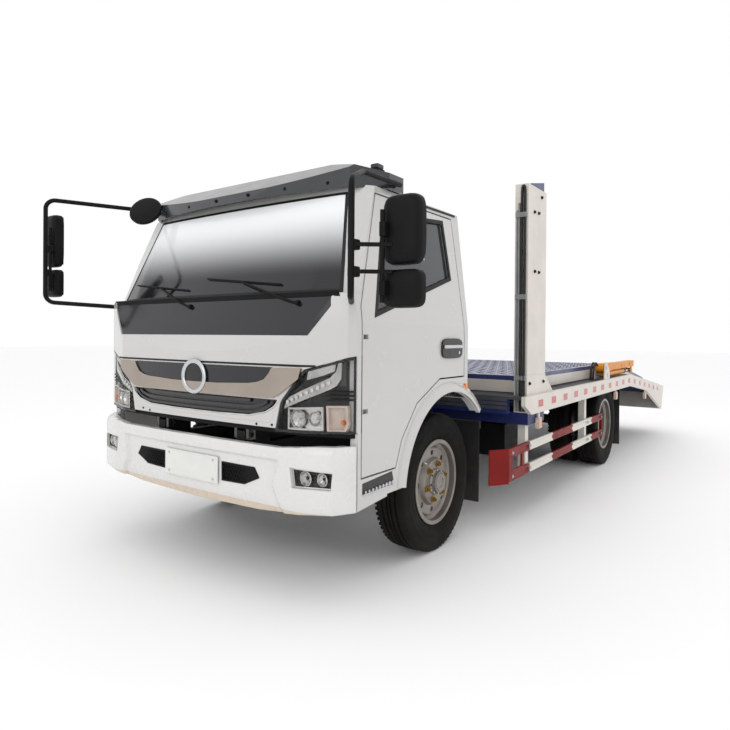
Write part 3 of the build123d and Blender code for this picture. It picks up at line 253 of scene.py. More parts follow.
def make_finishes(colours):
    """Every finish on the truck."""
    dust = (0.75, 0.16, ROAD_DUST)
    finish("white_paint", colours.cab, 0.20, coat=0.6, mottle=(2.0, 0.01), relief=(220.0, 0.010),
           dust=(0.62, 0.05, ROAD_DUST), edge=0.006)
    reflection_top, gap_shade_half, gap_shade_top, post_head = 0.468, 0.93, 0.8615, 2.4405
    finish("bumper_plain", [min(c * 1.24, 0.9) for c in colours.cab], 0.26, coat=0.4, mottle=(2.0, 0.008),
           edge=0.006)
    # painted reflection: the bumper's foot, below the lip's top, is beige, a reflection painted into its
    # colour
    masked("bumper_paint", "bumper_plain", (0.60, 0.50, 0.40), (("Z", 0.0, reflection_top),))
    finish("cream_paint", colours.bed, 0.36, coat=0.25, mottle=(4.0, 0.04), relief=(120.0, 0.05), dust=dust,
           wear=0.15, edge=0.003)
    finish("navy_paint", colours.deck, 0.42, coat=0.15, mottle=(5.0, 0.10), relief=(90.0, 0.08), dust=dust,
           wear=0.25, edge=0.003, sheen=0.3)
    finish("red_paint", colours.guard_red, 0.40, coat=0.05, mottle=(5.0, 0.08), relief=(120.0, 0.05),
           wear=0.1, edge=0.002, sheen=0.12)
    finish("guard_cream", colours.guard_cream, 0.36, coat=0.3, mottle=(5.0, 0.03), relief=(120.0, 0.05),
           dust=dust, wear=0.15, edge=0.002)
    finish("orange_paint", colours.arm, 0.38, coat=0.08, mottle=(6.0, 0.06), relief=(120.0, 0.04), wear=0.15,
           edge=0.003, sheen=0.15)
    finish("deck_grey", (0.050, 0.052, 0.058), 0.55, mottle=(7.0, 0.14), relief=(70.0, 0.25), dust=dust,
           wear=0.35, sheen=0.3)
    finish("slat_grey", (0.022, 0.022, 0.023), 0.32, coat=0.3, mottle=(9.0, 0.08), sheen=0.4)
    finish("dark_panel", (0.010, 0.011, 0.014), 0.18, coat=0.28, mottle=(3.0, 0.05), edge=0.003, sheen=0.4)
    finish("visor_smoke", (0.026, 0.028, 0.032), 0.19, coat=0.6, mottle=(4.0, 0.08), edge=0.004, sheen=0.4)
    finish("black_plastic", (0.008, 0.008, 0.0085), 0.46, mottle=(8.0, 0.10), relief=(260.0, 0.20),
           edge=0.003, sheen=0.10)
    finish("frame_steel", (0.012, 0.012, 0.013), 0.52, mottle=(6.0, 0.12), relief=(80.0, 0.20),
           dust=(0.60, 0.12, ROAD_DUST), wear=0.15, edge=0.002, sheen=0.12)
    finish("cast", (0.035, 0.035, 0.036), 0.62, metallic=0.2, mottle=(9.0, 0.15), relief=(110.0, 0.40),
           dust=(0.9, 0.2, ROAD_DUST), sheen=0.25)
    finish("tank_metal", (0.20, 0.21, 0.22), 0.42, metallic=0.6, mottle=(7.0, 0.08), relief=(60.0, 0.08),
           dust=dust)
    finish("chrome", (0.42, 0.36, 0.31), 0.16, metallic=1.0, mottle=(4.0, 0.05))
    finish("bright_steel", (0.60, 0.61, 0.62), 0.25, metallic=1.0, mottle=(8.0, 0.05))
    finish("wheel_paint", (0.27, 0.245, 0.22), 0.38, metallic=0.55, coat=0.15, mottle=(9.0, 0.10),
           relief=(90.0, 0.06), dust=(0.65, 0.15, ROAD_DUST), edge=0.002)
    finish("nut_brass", (0.42, 0.29, 0.12), 0.40, metallic=0.9, mottle=(40.0, 0.12))
    finish("tyre_rubber", (0.006, 0.006, 0.0055), 0.70, mottle=(14.0, 0.12), relief=(150.0, 0.30),
           dust=(0.85, 0.04, ROAD_DUST), sheen=0.10)
    finish("flap_rubber", (0.012, 0.012, 0.013), 0.62, mottle=(9.0, 0.12), relief=(120.0, 0.25), dust=dust,
           sheen=0.25)
    finish("hose_rubber", (0.010, 0.010, 0.011), 0.42, mottle=(20.0, 0.1), relief=(180.0, 0.15), sheen=0.35)
    finish("grey_conduit", (0.22, 0.23, 0.23), 0.45, mottle=(16.0, 0.08))
    finish("interior", (0.10, 0.10, 0.105), 0.65, mottle=(9.0, 0.08), relief=(200.0, 0.25))
    finish("turn_cream", (0.70, 0.58, 0.50), 0.22, coat=0.5, mottle=(20.0, 0.08))
    finish("seat_cloth", (0.045, 0.050, 0.062), 0.85, mottle=(30.0, 0.10), relief=(500.0, 0.6))
    finish("seat_side", (0.020, 0.020, 0.022), 0.55, mottle=(20.0, 0.10), relief=(300.0, 0.4))
    finish("amber_lens", (0.75, 0.20, 0.02), 0.16, coat=0.6, mottle=(30.0, 0.08), glow=0.1)
    finish("marker_lens", (0.62, 0.30, 0.17), 0.2, coat=0.5, mottle=(30.0, 0.08))
    finish("red_lens", (0.45, 0.015, 0.015), 0.16, coat=0.6, mottle=(30.0, 0.05), glow=0.1)
    finish("reflector_red", (0.56, 0.06, 0.065), 0.28, coat=0.4, mottle=(70.0, 0.14))
    finish("reflector_white", (0.72, 0.72, 0.70), 0.25, coat=0.5, mottle=(90.0, 0.03))
    finish("lamp_silver", (0.66, 0.65, 0.63), 0.13, metallic=0.95, mottle=(12.0, 0.10))
    finish("lamp_dark", (0.010, 0.010, 0.011), 0.28, coat=0.3, mottle=(12.0, 0.05), sheen=0.3)
    finish("mirror_silver", (0.80, 0.82, 0.84), 0.03, metallic=1.0, mottle=(4.0, 0.0))
    finish("plate_blank", (0.70, 0.71, 0.68), 0.40, mottle=(9.0, 0.02), edge=0.002)
    finish("rubber_seal", (0.008, 0.008, 0.008), 0.5, mottle=(12.0, 0.08), sheen=0.3)
    finish("lamp_lens", (0.03, 0.03, 0.032), 0.04, coat=0.35, mottle=(4.0, 0.0), alpha=0.10)
    finish("side_glass", (0.045, 0.05, 0.055), 0.04, coat=0.3, mottle=(2.0, 0.0), alpha=0.80)
    # painted reflection: between these heights the windscreen goes from dark at its foot to pale at its top
    dark_low, pale_high = 1.56, 2.06
    painted_reflection_glass("windscreen_reflection_glass", dark_low, pale_high, (0.012, 0.013, 0.015), (0.86, 0.87, 0.88), 0.97)
    # painted shade: the shell low in the middle of the front, seen through the gap above the bumper, is near
    # black
    paint_cab_shade(masked("cab_paint", "white_paint", (0.010, 0.010, 0.011),
                      (("X", -gap_shade_half, gap_shade_half), ("Z", 0.0, gap_shade_top))))
    masked("post_paint", "cream_paint", colours.deck, (("Z", post_head, 2.60),))
    deck_floor(finish_copy("deck_paint", "cream_paint"), colours.deck)


def finish_copy(name, source):
    """A copy of a finish under another name."""
    material = finishes[source].copy()
    material.name = name
    finishes[name] = material
    return material


def recolour(material, mask, colour):
    """Puts another colour where a mask is 1."""
    tree = material.node_tree
    target = tree.nodes["Principled BSDF"].inputs["Base Color"]
    source = target.links[0].from_socket
    link(tree, mixed(tree, mask, source, colour), target)


def masked(name, source, colour, ranges):
    """A copy of a finish with another colour where every range, (axis, low, high), holds."""
    material = finish_copy(name, source)
    tree = material.node_tree
    axes = axes_of(tree, part_place(tree))
    mask = None
    for axis, low, high in ranges:
        band = within(tree, axes[axis], low, high)
        mask = band if mask is None else multiplied(tree, mask, band)
    recolour(material, mask, colour)
    return material


def paint_cab_shade(material):
    """Paints shade on the inside of the cab's shell and on its wheel boxes: they are coloured dark where they
    lie in shade.
    """
    tree = material.node_tree
    axes = axes_of(tree, part_place(tree))
    across = tree.nodes.new("ShaderNodeMath")
    across.operation = "ABSOLUTE"
    link(tree, axes["X"], across.inputs[0])
    wall, brow, rear = 0.012, 2.225, FRONT_AXLE + 0.235
    side_limit = remap(tree, axes["Z"], WAIST, GUTTER, CAB_HALF - wall, CAB_HALF - TUMBLE - wall)
    front_limit = remap(tree, axes["Z"], LEAN_TO, brow, FRONT_AXLE - 0.86, FRONT_AXLE - 0.56)
    roof_limit = remap(tree, across.outputs[0], 0.0, 0.95, 2.205, 2.105)
    mask = multiplied(tree, math_node(tree, "LESS_THAN", across.outputs[0], side_limit),
                      math_node(tree, "LESS_THAN", axes["Z"], roof_limit))
    mask = multiplied(tree, mask, within(tree, axes["Y"], front_limit, rear))
    # painted shade: a dark colour inside the shell and on the wheel boxes
    recolour(material, mask, (0.035, 0.035, 0.037))


def deck_floor(material, colour):
    """Gives the upper deck's floor its own colour above the pale beams."""
    tree = material.node_tree
    axes = axes_of(tree, part_place(tree))
    underside, rim = 1.0095, 1.06
    level = remap(tree, axes["Y"], HUMP_Y, HUMP_Y + FLOOR_LENGTH, underside,
                  underside - FLOOR_LENGTH * FLOOR_SLOPE)
    recolour(material, within(tree, axes["Z"], level, rim), colour)


def coat_node(node, name):
    """Gives a node of the solid model a finish in place of its own."""
    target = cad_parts[node]
    target.data.materials.clear()
    target.data.materials.append(finishes[name])


# Mesh work
class Shape:
    """Mesh work for one piece, in the row frame."""

    def __init__(self):
        self.mesh = bmesh.new()

    def box(self, low, high, turn=None):
        """A block between two corners, turned about its own middle by a matrix."""
        low, high = Vector(low), Vector(high)
        place = Matrix.Translation((low + high) / 2)
        if turn:
            place = place @ turn
        size = high - low
        bmesh.ops.create_cube(self.mesh, size=1.0,
                              matrix=place @ Matrix.Diagonal((*[abs(v) for v in size], 1.0)))
        return self

    def prism(self, outline, axis, start, end):
        """A solid whose outline of pairs lies across an axis: y, z for X; x, z for Y; x, y for Z."""
        rings = []
        for level in (start, end):
            ring = []
            for a, b in outline:
                point = {"X": (level, a, b), "Y": (a, level, b), "Z": (a, b, level)}[axis]
                ring.append(self.mesh.verts.new(point))
            rings.append(ring)
        count = len(outline)
        self.mesh.faces.new(rings[0])
        self.mesh.faces.new(list(reversed(rings[1])))
        for i in range(count):
            j = (i + 1) % count
            self.mesh.faces.new((rings[0][i], rings[1][i], rings[1][j], rings[0][j]))
        return self

    def rod(self, start, end, radius, sides=20, end_radius=None):
        """A round bar between two points."""
        start, end = Vector(start), Vector(end)
        along = end - start
        place = Matrix.Translation((start + end) / 2) @ along.to_track_quat("Z", "Y").to_matrix().to_4x4()
        bmesh.ops.create_cone(self.mesh, cap_ends=True, segments=sides, radius1=radius,
                              radius2=radius if end_radius is None else end_radius, depth=along.length,
                              matrix=place)
        return self

    def lathe(self, profile, centre, axis="X", sign=1, sides=72):
        """A closed ring turned about an axis; the profile's pairs are (along, radius)."""
        rings = []
        for i in range(sides):
            angle = 2 * math.pi * i / sides
            ring = []
            for along, radius in profile:
                a, b = radius * math.cos(angle), radius * math.sin(angle)
                offset = {"X": (sign * along, a, b), "Y": (a, sign * along, b),
                          "Z": (a, b, sign * along)}[axis]
                ring.append(self.mesh.verts.new(Vector(centre) + Vector(offset)))
            rings.append(ring)
        count = len(profile)
        for i in range(sides):
            here, there = rings[i], rings[(i + 1) % sides]
            for j in range(count):
                k = (j + 1) % count
                self.mesh.faces.new((here[j], there[j], there[k], here[k]))
        bmesh.ops.remove_doubles(self.mesh, verts=self.mesh.verts, dist=1e-6)
        return self

    def hull(self, rings):
        """Walls between rings of vertices, closed at both ends."""
        for here, there in zip(rings, rings[1:]):
            for i in range(len(here)):
                j = (i + 1) % len(here)
                self.mesh.faces.new((here[i], here[j], there[j], there[i]))
        self.mesh.faces.new(rings[0])
        self.mesh.faces.new(list(reversed(rings[-1])))
        return self

    def done(self, name, material, body, bevel=0.0, angle=35.0, segments=2):
        """Turns the work into an object that rides on a body."""
        bmesh.ops.recalc_face_normals(self.mesh, faces=self.mesh.faces)
        data = bpy.data.meshes.new(name)
        self.mesh.to_mesh(data)
        self.mesh.free()
        return place_mesh(name, data, material, body, bevel, angle, segments)


def place_mesh(name, data, material, body, bevel=0.0, angle=35.0, segments=2):
    """Links a finished mesh as a piece that rides on a body."""
    piece = bpy.data.objects.new(name, data)
    bpy.context.scene.collection.objects.link(piece)
    if material:
        data.materials.clear()
        data.materials.append(finishes[material])
    data.shade_smooth()
    data.set_sharp_from_angle(angle=math.radians(angle))
    if bevel:
        rounding = piece.modifiers.new("Rounding", "BEVEL")
        rounding.width = bevel
        rounding.segments = segments
        rounding.limit_method = "ANGLE"
        rounding.angle_limit = math.radians(40)
        rounding.harden_normals = True
    if body:
        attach(piece, body)
    return piece


def tube(name, points, radius, material, body, sides=10, cyclic=False):
    """A smooth tube along points, made from a NURBS curve."""
    curve = bpy.data.curves.new(name, "CURVE")
    curve.dimensions = "3D"
    spline = curve.splines.new("NURBS")
    spline.points.add(len(points) - 1)
    for target, point in zip(spline.points, points):
        target.co = (*point, 1.0)
    spline.order_u = 3
    spline.use_endpoint_u = not cyclic
    spline.use_cyclic_u = cyclic
    curve.bevel_depth = radius
    curve.bevel_resolution = sides // 4 + 1
    curve.resolution_u = 8
    curve.use_fill_caps = True
    holder = bpy.data.objects.new(name, curve)
    bpy.context.scene.collection.objects.link(holder)
    data = bpy.data.meshes.new_from_object(holder.evaluated_get(bpy.context.evaluated_depsgraph_get()))
    bpy.data.objects.remove(holder)
    bpy.data.curves.remove(curve)
    data.name = name
    return place_mesh(name, data, material, body, angle=60.0)


# Repeats
def repeat_tree(name, kinds):
    """Geometry Nodes: an item stands on points, as real mesh with one finish; kinds are (input, type)."""
    tree = bpy.data.node_groups.new(name, "GeometryNodeTree")
    tree.is_modifier = True
    for label, kind in (("Geometry", "Geometry"), ("Item", "Object"), *kinds, ("Finish", "Material")):
        tree.interface.new_socket(label, in_out="INPUT", socket_type="NodeSocket" + kind)
    tree.interface.new_socket("Geometry", in_out="OUTPUT", socket_type="NodeSocketGeometry")
    nodes = tree.nodes
    entry, leave = nodes.new("NodeGroupInput"), nodes.new("NodeGroupOutput")
    item = nodes.new("GeometryNodeObjectInfo")
    spread = nodes.new("GeometryNodeInstanceOnPoints")
    real = nodes.new("GeometryNodeRealizeInstances")
    paint = nodes.new("GeometryNodeSetMaterial")
    link(tree, entry.outputs["Item"], item.inputs["Object"])
    link(tree, item.outputs["Geometry"], spread.inputs["Instance"])
    link(tree, spread.outputs["Instances"], real.inputs["Geometry"])
    link(tree, real.outputs["Geometry"], paint.inputs["Geometry"])
    link(tree, entry.outputs["Finish"], paint.inputs["Material"])
    link(tree, paint.outputs["Geometry"], leave.inputs["Geometry"])
    return tree, entry, spread


def copies_tree(name):
    """An item stands at each vertex, turned by the vertex's attribute."""
    tree, entry, spread = repeat_tree(name, (("Size", "Float"),))
    turn = tree.nodes.new("GeometryNodeInputNamedAttribute")
    turn.data_type = "FLOAT_VECTOR"
    turn.inputs["Name"].default_value = "turn"
    link(tree, entry.outputs["Geometry"], spread.inputs["Points"])
    link(tree, turn.outputs["Attribute"], spread.inputs["Rotation"])
    link(tree, entry.outputs["Size"], spread.inputs["Scale"])
    return tree


def row_tree(name):
    """An item is repeated along a straight line at a fixed pitch."""
    tree, entry, spread = repeat_tree(name, (("Count", "Int"), ("Start", "Vector"), ("Pitch", "Vector")))
    line = tree.nodes.new("GeometryNodeMeshLine")
    link(tree, entry.outputs["Count"], line.inputs["Count"])
    link(tree, entry.outputs["Start"], line.inputs["Start Location"])
    link(tree, entry.outputs["Pitch"], line.inputs["Offset"])
    link(tree, line.outputs["Mesh"], spread.inputs["Points"])
    return tree


def run_tree(name, tree, base, inputs, material, body, angle=35.0):
    """Runs a tree on a base mesh and keeps the result as a plain mesh that rides on a body."""
    holder = bpy.data.objects.new(name + "_holder", base)
    bpy.context.scene.collection.objects.link(holder)
    modifier = holder.modifiers.new("Repeat", "NODES")
    modifier.node_group = tree
    inputs = dict(inputs, Finish=finishes[material])
    for entry in tree.interface.items_tree:
        if entry.item_type == "SOCKET" and entry.in_out == "INPUT" and entry.name in inputs:
            modifier[entry.identifier] = inputs[entry.name]
    item = inputs["Item"]
    graph = bpy.context.evaluated_depsgraph_get()
    data = bpy.data.meshes.new_from_object(holder.evaluated_get(graph))
    data.name = name
    bpy.data.objects.remove(holder)
    bpy.data.objects.remove(item)
    return place_mesh(name, data, material, body, angle=angle)


def item_of(shape, name="item"):
    """A loose object for a tree to repeat."""
    bmesh.ops.recalc_face_normals(shape.mesh, faces=shape.mesh.faces)
    data = bpy.data.meshes.new(name)
    shape.mesh.to_mesh(data)
    shape.mesh.free()
    item = bpy.data.objects.new(name, data)
    bpy.context.scene.collection.objects.link(item)
    return item


def copies(name, shape, places, material, body, size=1.0):
    """Repeats a shape made at the origin; places are (point, turn about X, Y and Z)."""
    base = bpy.data.meshes.new(name + "_points")
    base.from_pydata([tuple(point) for point, turn in places], [], [])
    turns = base.attributes.new("turn", "FLOAT_VECTOR", "POINT")
    turns.data.foreach_set("vector", [v for point, turn in places for v in turn])
    return run_tree(name, trees["copies"], base, {"Item": item_of(shape), "Size": size}, material, body)


def row(name, shape, start, pitch, count, material, body):
    """Repeats a shape made at the origin along a straight line."""
    base = bpy.data.meshes.new(name + "_base")
    return run_tree(name, trees["row"], base,
                    {"Item": item_of(shape), "Count": count, "Start": start, "Pitch": pitch}, material, body)


trees = {}


# Settings
class TruckColours(bpy.types.PropertyGroup):
    """Paint colours that a user may change."""

    cab: FloatVectorProperty(name="Cab", description="Paint of the cab and bumper", subtype="COLOR",
                             default=(0.535, 0.530, 0.520), min=0.0, max=1.0)
    bed: FloatVectorProperty(name="Bed", description="Paint of the side rails and lift posts",
                             subtype="COLOR", default=(0.66, 0.61, 0.555), min=0.0, max=1.0)
    deck: FloatVectorProperty(name="Deck", description="Paint of the upper deck and the bed's frame",
                              subtype="COLOR", default=(0.012, 0.022, 0.12), min=0.0, max=1.0)
    guard_red: FloatVectorProperty(name="Guard red", description="Red bands of the side guards",
                                   subtype="COLOR", default=(0.21, 0.010, 0.008), min=0.0, max=1.0)
    guard_cream: FloatVectorProperty(name="Guard cream", description="Pale bands of the side guards",
                                     subtype="COLOR", default=(0.70, 0.67, 0.61), min=0.0, max=1.0)
    arm: FloatVectorProperty(name="Swing arm", description="Paint of the rear swing arms", subtype="COLOR",
                             default=(0.72, 0.27, 0.02), min=0.0, max=1.0)


class TruckSizes(bpy.types.PropertyGroup):
    """Sizes of the repeated and small parts."""

    reflector: FloatProperty(name="Reflector", description="Side of a reflective square on the rail",
                             default=0.10, min=0.02, max=0.2, subtype="DISTANCE", unit="LENGTH")
    reflector_pitch: FloatProperty(name="Reflector pitch",
                                   description="Distance between the reflective squares",
                                   default=0.30, min=0.1, max=1.0, subtype="DISTANCE", unit="LENGTH")
    plank_pitch: FloatProperty(name="Plank pitch", description="Distance between the ribs of the lower deck",
                               default=0.075, min=0.02, max=0.3, subtype="DISTANCE", unit="LENGTH")
    nut: FloatProperty(name="Wheel nut", description="Radius of a wheel nut", default=0.017, min=0.005,
                       max=0.05, subtype="DISTANCE", unit="LENGTH")
    nut_count: IntProperty(name="Wheel nuts", description="Nuts on each wheel", default=6, min=3, max=12)


# Operators
class TRUCK_OT_stage(bpy.types.Operator):
    """Floor, light, world and camera"""

    bl_idname = "truck.stage"
    bl_label = "Stage"

    def execute(self, context):
        scene = context.scene
        scene.view_settings.view_transform = "Standard"
        floor = bpy.data.meshes.new("floor")
        reach = 60.0
        floor.from_pydata([(-reach, -reach, 0), (reach, -reach, 0), (reach, reach, 0), (-reach, reach, 0)],
                          [], [(0, 1, 2, 3)])
        ground = bpy.data.objects.new("floor", floor)
        scene.collection.objects.link(ground)
        material = bpy.data.materials.new("floor_pale")
        material.use_nodes = True
        shader = material.node_tree.nodes["Principled BSDF"]
        shader.inputs["Base Color"].default_value = (0.96, 0.96, 0.96, 1.0)
        shader.inputs["Roughness"].default_value = 0.9
        floor.materials.append(material)
        self.world(scene)
        self.lamps(scene)
        self.camera(scene)
        return {"FINISHED"}

    def world(self, scene):
        """A plain white world."""
        world = bpy.data.worlds.new("studio")
        scene.world = world
        world.use_nodes = True
        back = world.node_tree.nodes["Background"]
        back.inputs["Color"].default_value = (1.0, 1.0, 1.0, 1.0)
        back.inputs["Strength"].default_value = 1.0

    def lamps(self, scene):
        """Large soft lamps: one above, one ahead and one from the near side."""
        # columns: name, power, size, place, aimed at
        table = (
            ("lamp_top", 60.0, 9.0, (1.0, -1.0, 8.0), (0.0, 0.5, 0.0)),
            ("lamp_front", 90.0, 5.0, (1.5, -10.0, 4.0), (0.0, -3.0, 1.0)),
            ("lamp_side", 20.0, 6.0, (9.0, -1.0, 4.0), (0.5, 0.5, 0.8)),
        )
        for name, power, size, place, target in table:
            lamp = bpy.data.lights.new(name, "AREA")
            lamp.energy = power
            lamp.size = size
            holder = bpy.data.objects.new(name, lamp)
            holder.location = place
            holder.rotation_euler = (Vector(target) - Vector(place)).to_track_quat("-Z", "Y").to_euler()
            scene.collection.objects.link(holder)

    def camera(self, scene):
        """The photograph's camera: ahead of the truck's near side, at the windscreen's foot."""
        yaw, pitch, roll = math.radians(36.35), math.radians(0.23), math.radians(0.42)
        focal, image = 594.5, 730.0
        centre_u, centre_v = 353.1, 338.6
        forward = Vector((-math.sin(yaw) * math.cos(pitch), math.cos(yaw) * math.cos(pitch),
                          -math.sin(pitch)))
        level = Vector((math.cos(yaw), math.sin(yaw), 0.0))
        upright = level.cross(forward)
        right = level * math.cos(roll) + upright * math.sin(roll)
        up = right.cross(forward)
        lens = bpy.data.cameras.new("camera")
        sensor = 36.0
        lens.sensor_width = sensor
        lens.lens = focal / image * sensor
        lens.shift_x = (image / 2 - centre_u) / image
        lens.shift_y = (centre_v - image / 2) / image
        lens.clip_end = 200.0
        holder = bpy.data.objects.new("camera", lens)
        turn = Matrix((right, up, -forward)).transposed().to_4x4()
        holder.matrix_world = Matrix.Translation((2.722, FRONT_AXLE - 3.309, 1.333)) @ turn
        scene.collection.objects.link(holder)
        scene.camera = holder


class TRUCK_OT_finishes(bpy.types.Operator):
    """Finishes of every node of the solid model"""

    bl_idname = "truck.finishes"
    bl_label = "Finishes"

    def execute(self, context):
        make_finishes(context.scene.truck_colours)
        trees["copies"] = copies_tree("Copies")
        trees["row"] = row_tree("Row")
        table = {
            "cab_paint": ("cab_shell",),
            "white_paint": ("door_left", "door_right"),
            "bumper_paint": ("bumper",),
            "dark_panel": ("cowl_panel", "grille"),
            "visor_smoke": ("visor",),
            "black_plastic": ("mirror_frames", "mirror_heads", "bumper_grilles", "battery_box"),
            "lamp_lens": ("headlamps", "fog_lamps"),
            "chrome": ("chrome_band",),
            "side_glass": ("door_glass_left", "door_glass_right"),
            "windscreen_reflection_glass": ("cab_glass",),
            "interior": ("dashboard", "steering_wheel"),
            "seat_cloth": ("seats",),
            "plate_blank": ("number_plate",),
            "frame_steel": ("chassis_frame", "leaf_springs"),
            "cast": ("engine_block", "front_axle_beam", "rear_axle", "knuckle_left", "knuckle_right"),
            "tank_metal": ("tanks", "silencer"),
            "navy_paint": ("bed_frame",),
            "deck_paint": ("upper_deck",),
            "deck_grey": ("lower_deck",),
            "cream_paint": ("side_rails", "arm_clevises"),
            "post_paint": ("lift_posts",),
            "red_paint": ("side_guards",),
            "flap_rubber": ("mudflaps",),
            "turn_cream": ("marker_lamps",),
            "red_lens": ("tail_lamps",),
            "orange_paint": ("swing_arm_left", "swing_arm_right", "cylinder_tube_left",
                             "cylinder_tube_right"),
            "bright_steel": ("cylinder_rod_left", "cylinder_rod_right"),
            "tyre_rubber": ("front_tyre_left", "front_tyre_right", "rear_tyres_left", "rear_tyres_right"),
            "wheel_paint": ("front_rim_left", "front_rim_right", "rear_rims_left", "rear_rims_right"),
        }
        for name, nodes in table.items():
            for node in nodes:
                coat_node(node, name)
        return {"FINISHED"}


def sag(reach, radius):
    """How far a bowed face has fallen back at a distance from its middle."""
    return radius - math.sqrt(radius ** 2 - reach ** 2)


def nose_y(x, z):
    """Where the cab's front face lies at a place seen from the front."""
    reach = abs(x)
    if reach <= NOSE_FLAT:
        y = FACE_Y + sag(reach, NOSE_RADIUS)
    elif reach <= CORNER_X:
        share = (reach - NOSE_FLAT) / (CORNER_X - NOSE_FLAT)
        y = FACE_Y + NOSE_SAG + share * (CORNER_Y - EDGE_FALL - FACE_Y - NOSE_SAG)
    else:
        y = CORNER_Y - EDGE_FALL + (reach - CORNER_X) / EDGE_WIDTH * EDGE_FALL
    if z > LEAN_FROM:
        y = max(y, FACE_Y + (min(z, LEAN_TO) - LEAN_FROM) / (LEAN_TO - LEAN_FROM) * LEAN_BACK)
    return y


def screen_y(x, z):
    """Where the windscreen's face lies."""
    reach = abs(x)
    y = FACE_Y + LEAN_BACK + (z - LEAN_TO) * SCREEN_LEAN
    if reach <= NOSE_FLAT:
        return y + sag(reach, NOSE_RADIUS)
    return y + NOSE_SAG + (reach - NOSE_FLAT) * SCREEN_TURN


def bumper_y(x, z):
    """Where the bumper's face lies."""
    reach = abs(x)
    if reach <= BUMPER_FLAT:
        return BUMPER_FACE + sag(reach, (BUMPER_FLAT ** 2 + BUMPER_SAG ** 2) / (2 * BUMPER_SAG))
    if reach <= BUMPER_TURN:
        share = (reach - BUMPER_FLAT) / (BUMPER_TURN - BUMPER_FLAT)
        return BUMPER_FACE + BUMPER_SAG + share * CHEEK_FALL
    return BUMPER_FACE + BUMPER_SAG + CHEEK_FALL + (reach - BUMPER_TURN) / TIP_WIDTH * TIP_FALL


def side_x(z):
    """Half width of the cab's side at a height."""
    return CAB_HALF - max(z - WAIST, 0.0) / (GUTTER - WAIST) * TUMBLE


def slope_z(y, z):
    """Height of a line that falls with the tail behind the hump."""
    return z - max(y - HUMP_Y, 0.0) * SLOPE


def skin(faces, place, offset, cuts_a=(), cuts_b=()):
    """Plates drawn in a plane, cut at levels, laid on a surface and given thickness."""
    shape = Shape()
    mesh = shape.mesh
    corners = {}

    def corner(point):
        key = (round(point[0], 6), round(point[1], 6))
        if key not in corners:
            corners[key] = mesh.verts.new((point[0], 0.0, point[1]))
        return corners[key]

    for face in faces:
        mesh.faces.new([corner(point) for point in face])
    for level, axis in [(v, (1, 0, 0)) for v in cuts_a] + [(v, (0, 0, 1)) for v in cuts_b]:
        bmesh.ops.bisect_plane(mesh, geom=mesh.verts[:] + mesh.edges[:] + mesh.faces[:],
                               plane_co=[level * v for v in axis], plane_no=axis, dist=1e-5)
    for vertex in mesh.verts:
        vertex.co = Vector(place(vertex.co.x, vertex.co.z))
    plates = mesh.faces[:]
    rims = [edge for edge in mesh.edges if len(edge.link_faces) == 1]
    back = {v: mesh.verts.new(v.co + Vector(offset)) for v in mesh.verts[:]}
    for face in plates:
        mesh.faces.new([back[v] for v in reversed(face.verts)])
    for edge in rims:
        a, b = edge.verts
        mesh.faces.new((a, b, back[b], back[a]))
    return shape


def sculpted(node, shift, cuts_x=(), cuts_z=()):
    """A copy of a node's mesh, cut at levels and moved by a function of its place."""
    mesh = bmesh.new()
    mesh.from_mesh(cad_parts[node].data)
    mesh.transform(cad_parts[node].matrix_world)
    bmesh.ops.remove_doubles(mesh, verts=mesh.verts, dist=1e-5)
    for level, axis in [(v, Vector((1, 0, 0))) for v in cuts_x] + [(v, Vector((0, 0, 1))) for v in cuts_z]:
        bmesh.ops.bisect_plane(mesh, geom=mesh.verts[:] + mesh.edges[:] + mesh.faces[:],
                               plane_co=axis * level, plane_no=axis, dist=1e-5)
    for vertex in mesh.verts:
        vertex.co += shift(vertex.co)
    data = bpy.data.meshes.new(node + "_sculpted")
    mesh.to_mesh(data)
    mesh.free()
    return data


def front_skin(faces, depth, thickness, surface=nose_y, step=0.05):
    """Plates seen from the front, laid depth behind a surface."""
    xs = [x for face in faces for x, z in face]
    cuts = [min(xs) + step * i for i in range(1, int((max(xs) - min(xs)) / step) + 1)]
    cuts += [NOSE_FLAT, -NOSE_FLAT, CORNER_X, -CORNER_X, BUMPER_TURN, -BUMPER_TURN]
    return skin(faces, lambda x, z: (x, surface(x, z) + depth, z), (0, thickness, 0), cuts, (LEAN_FROM,))


def side_skin(faces, side, proud, thickness):
    """Plates seen from the side, laid proud of the cab's side; pairs are y from the front axle, then z."""
    return skin(faces, lambda y, z: (side * (side_x(z) + proud), FRONT_AXLE + y, z),
                (-side * thickness, 0, 0), (), (WAIST, 1.7, 2.0))


def inset(outline, amount):
    """An outline moved inwards by an amount, whichever way it runs."""
    count = len(outline)
    area = sum(outline[i][0] * outline[(i + 1) % count][1] - outline[(i + 1) % count][0] * outline[i][1]
               for i in range(count))
    turn = 1 if area > 0 else -1
    result = []
    for i in range(count):
        here = Vector(outline[i])
        before = (here - Vector(outline[i - 1])).normalized()
        after = (Vector(outline[(i + 1) % count]) - here).normalized()
        first, second = Vector((-before.y, before.x)) * turn, Vector((-after.y, after.x)) * turn
        middle_line = first + second
        result.append(tuple(here + middle_line * (amount / max(middle_line.dot(first), 0.2))))
    return result


def ring_of(outline, width):
    """Faces of a frame that lies inside an outline."""
    inner = inset(outline, width)
    count = len(outline)
    return [[outline[i], outline[(i + 1) % count], inner[(i + 1) % count], inner[i]] for i in range(count)]


def swapped(outline, side):
    """An outline for the left side, or its mirror image for the right."""
    return list(outline) if side > 0 else [(-x, z) for x, z in reversed(outline)]


def superform(value, power):
    """A sine or cosine bent towards a rounded rectangle."""
    return math.copysign(abs(value) ** power, value)


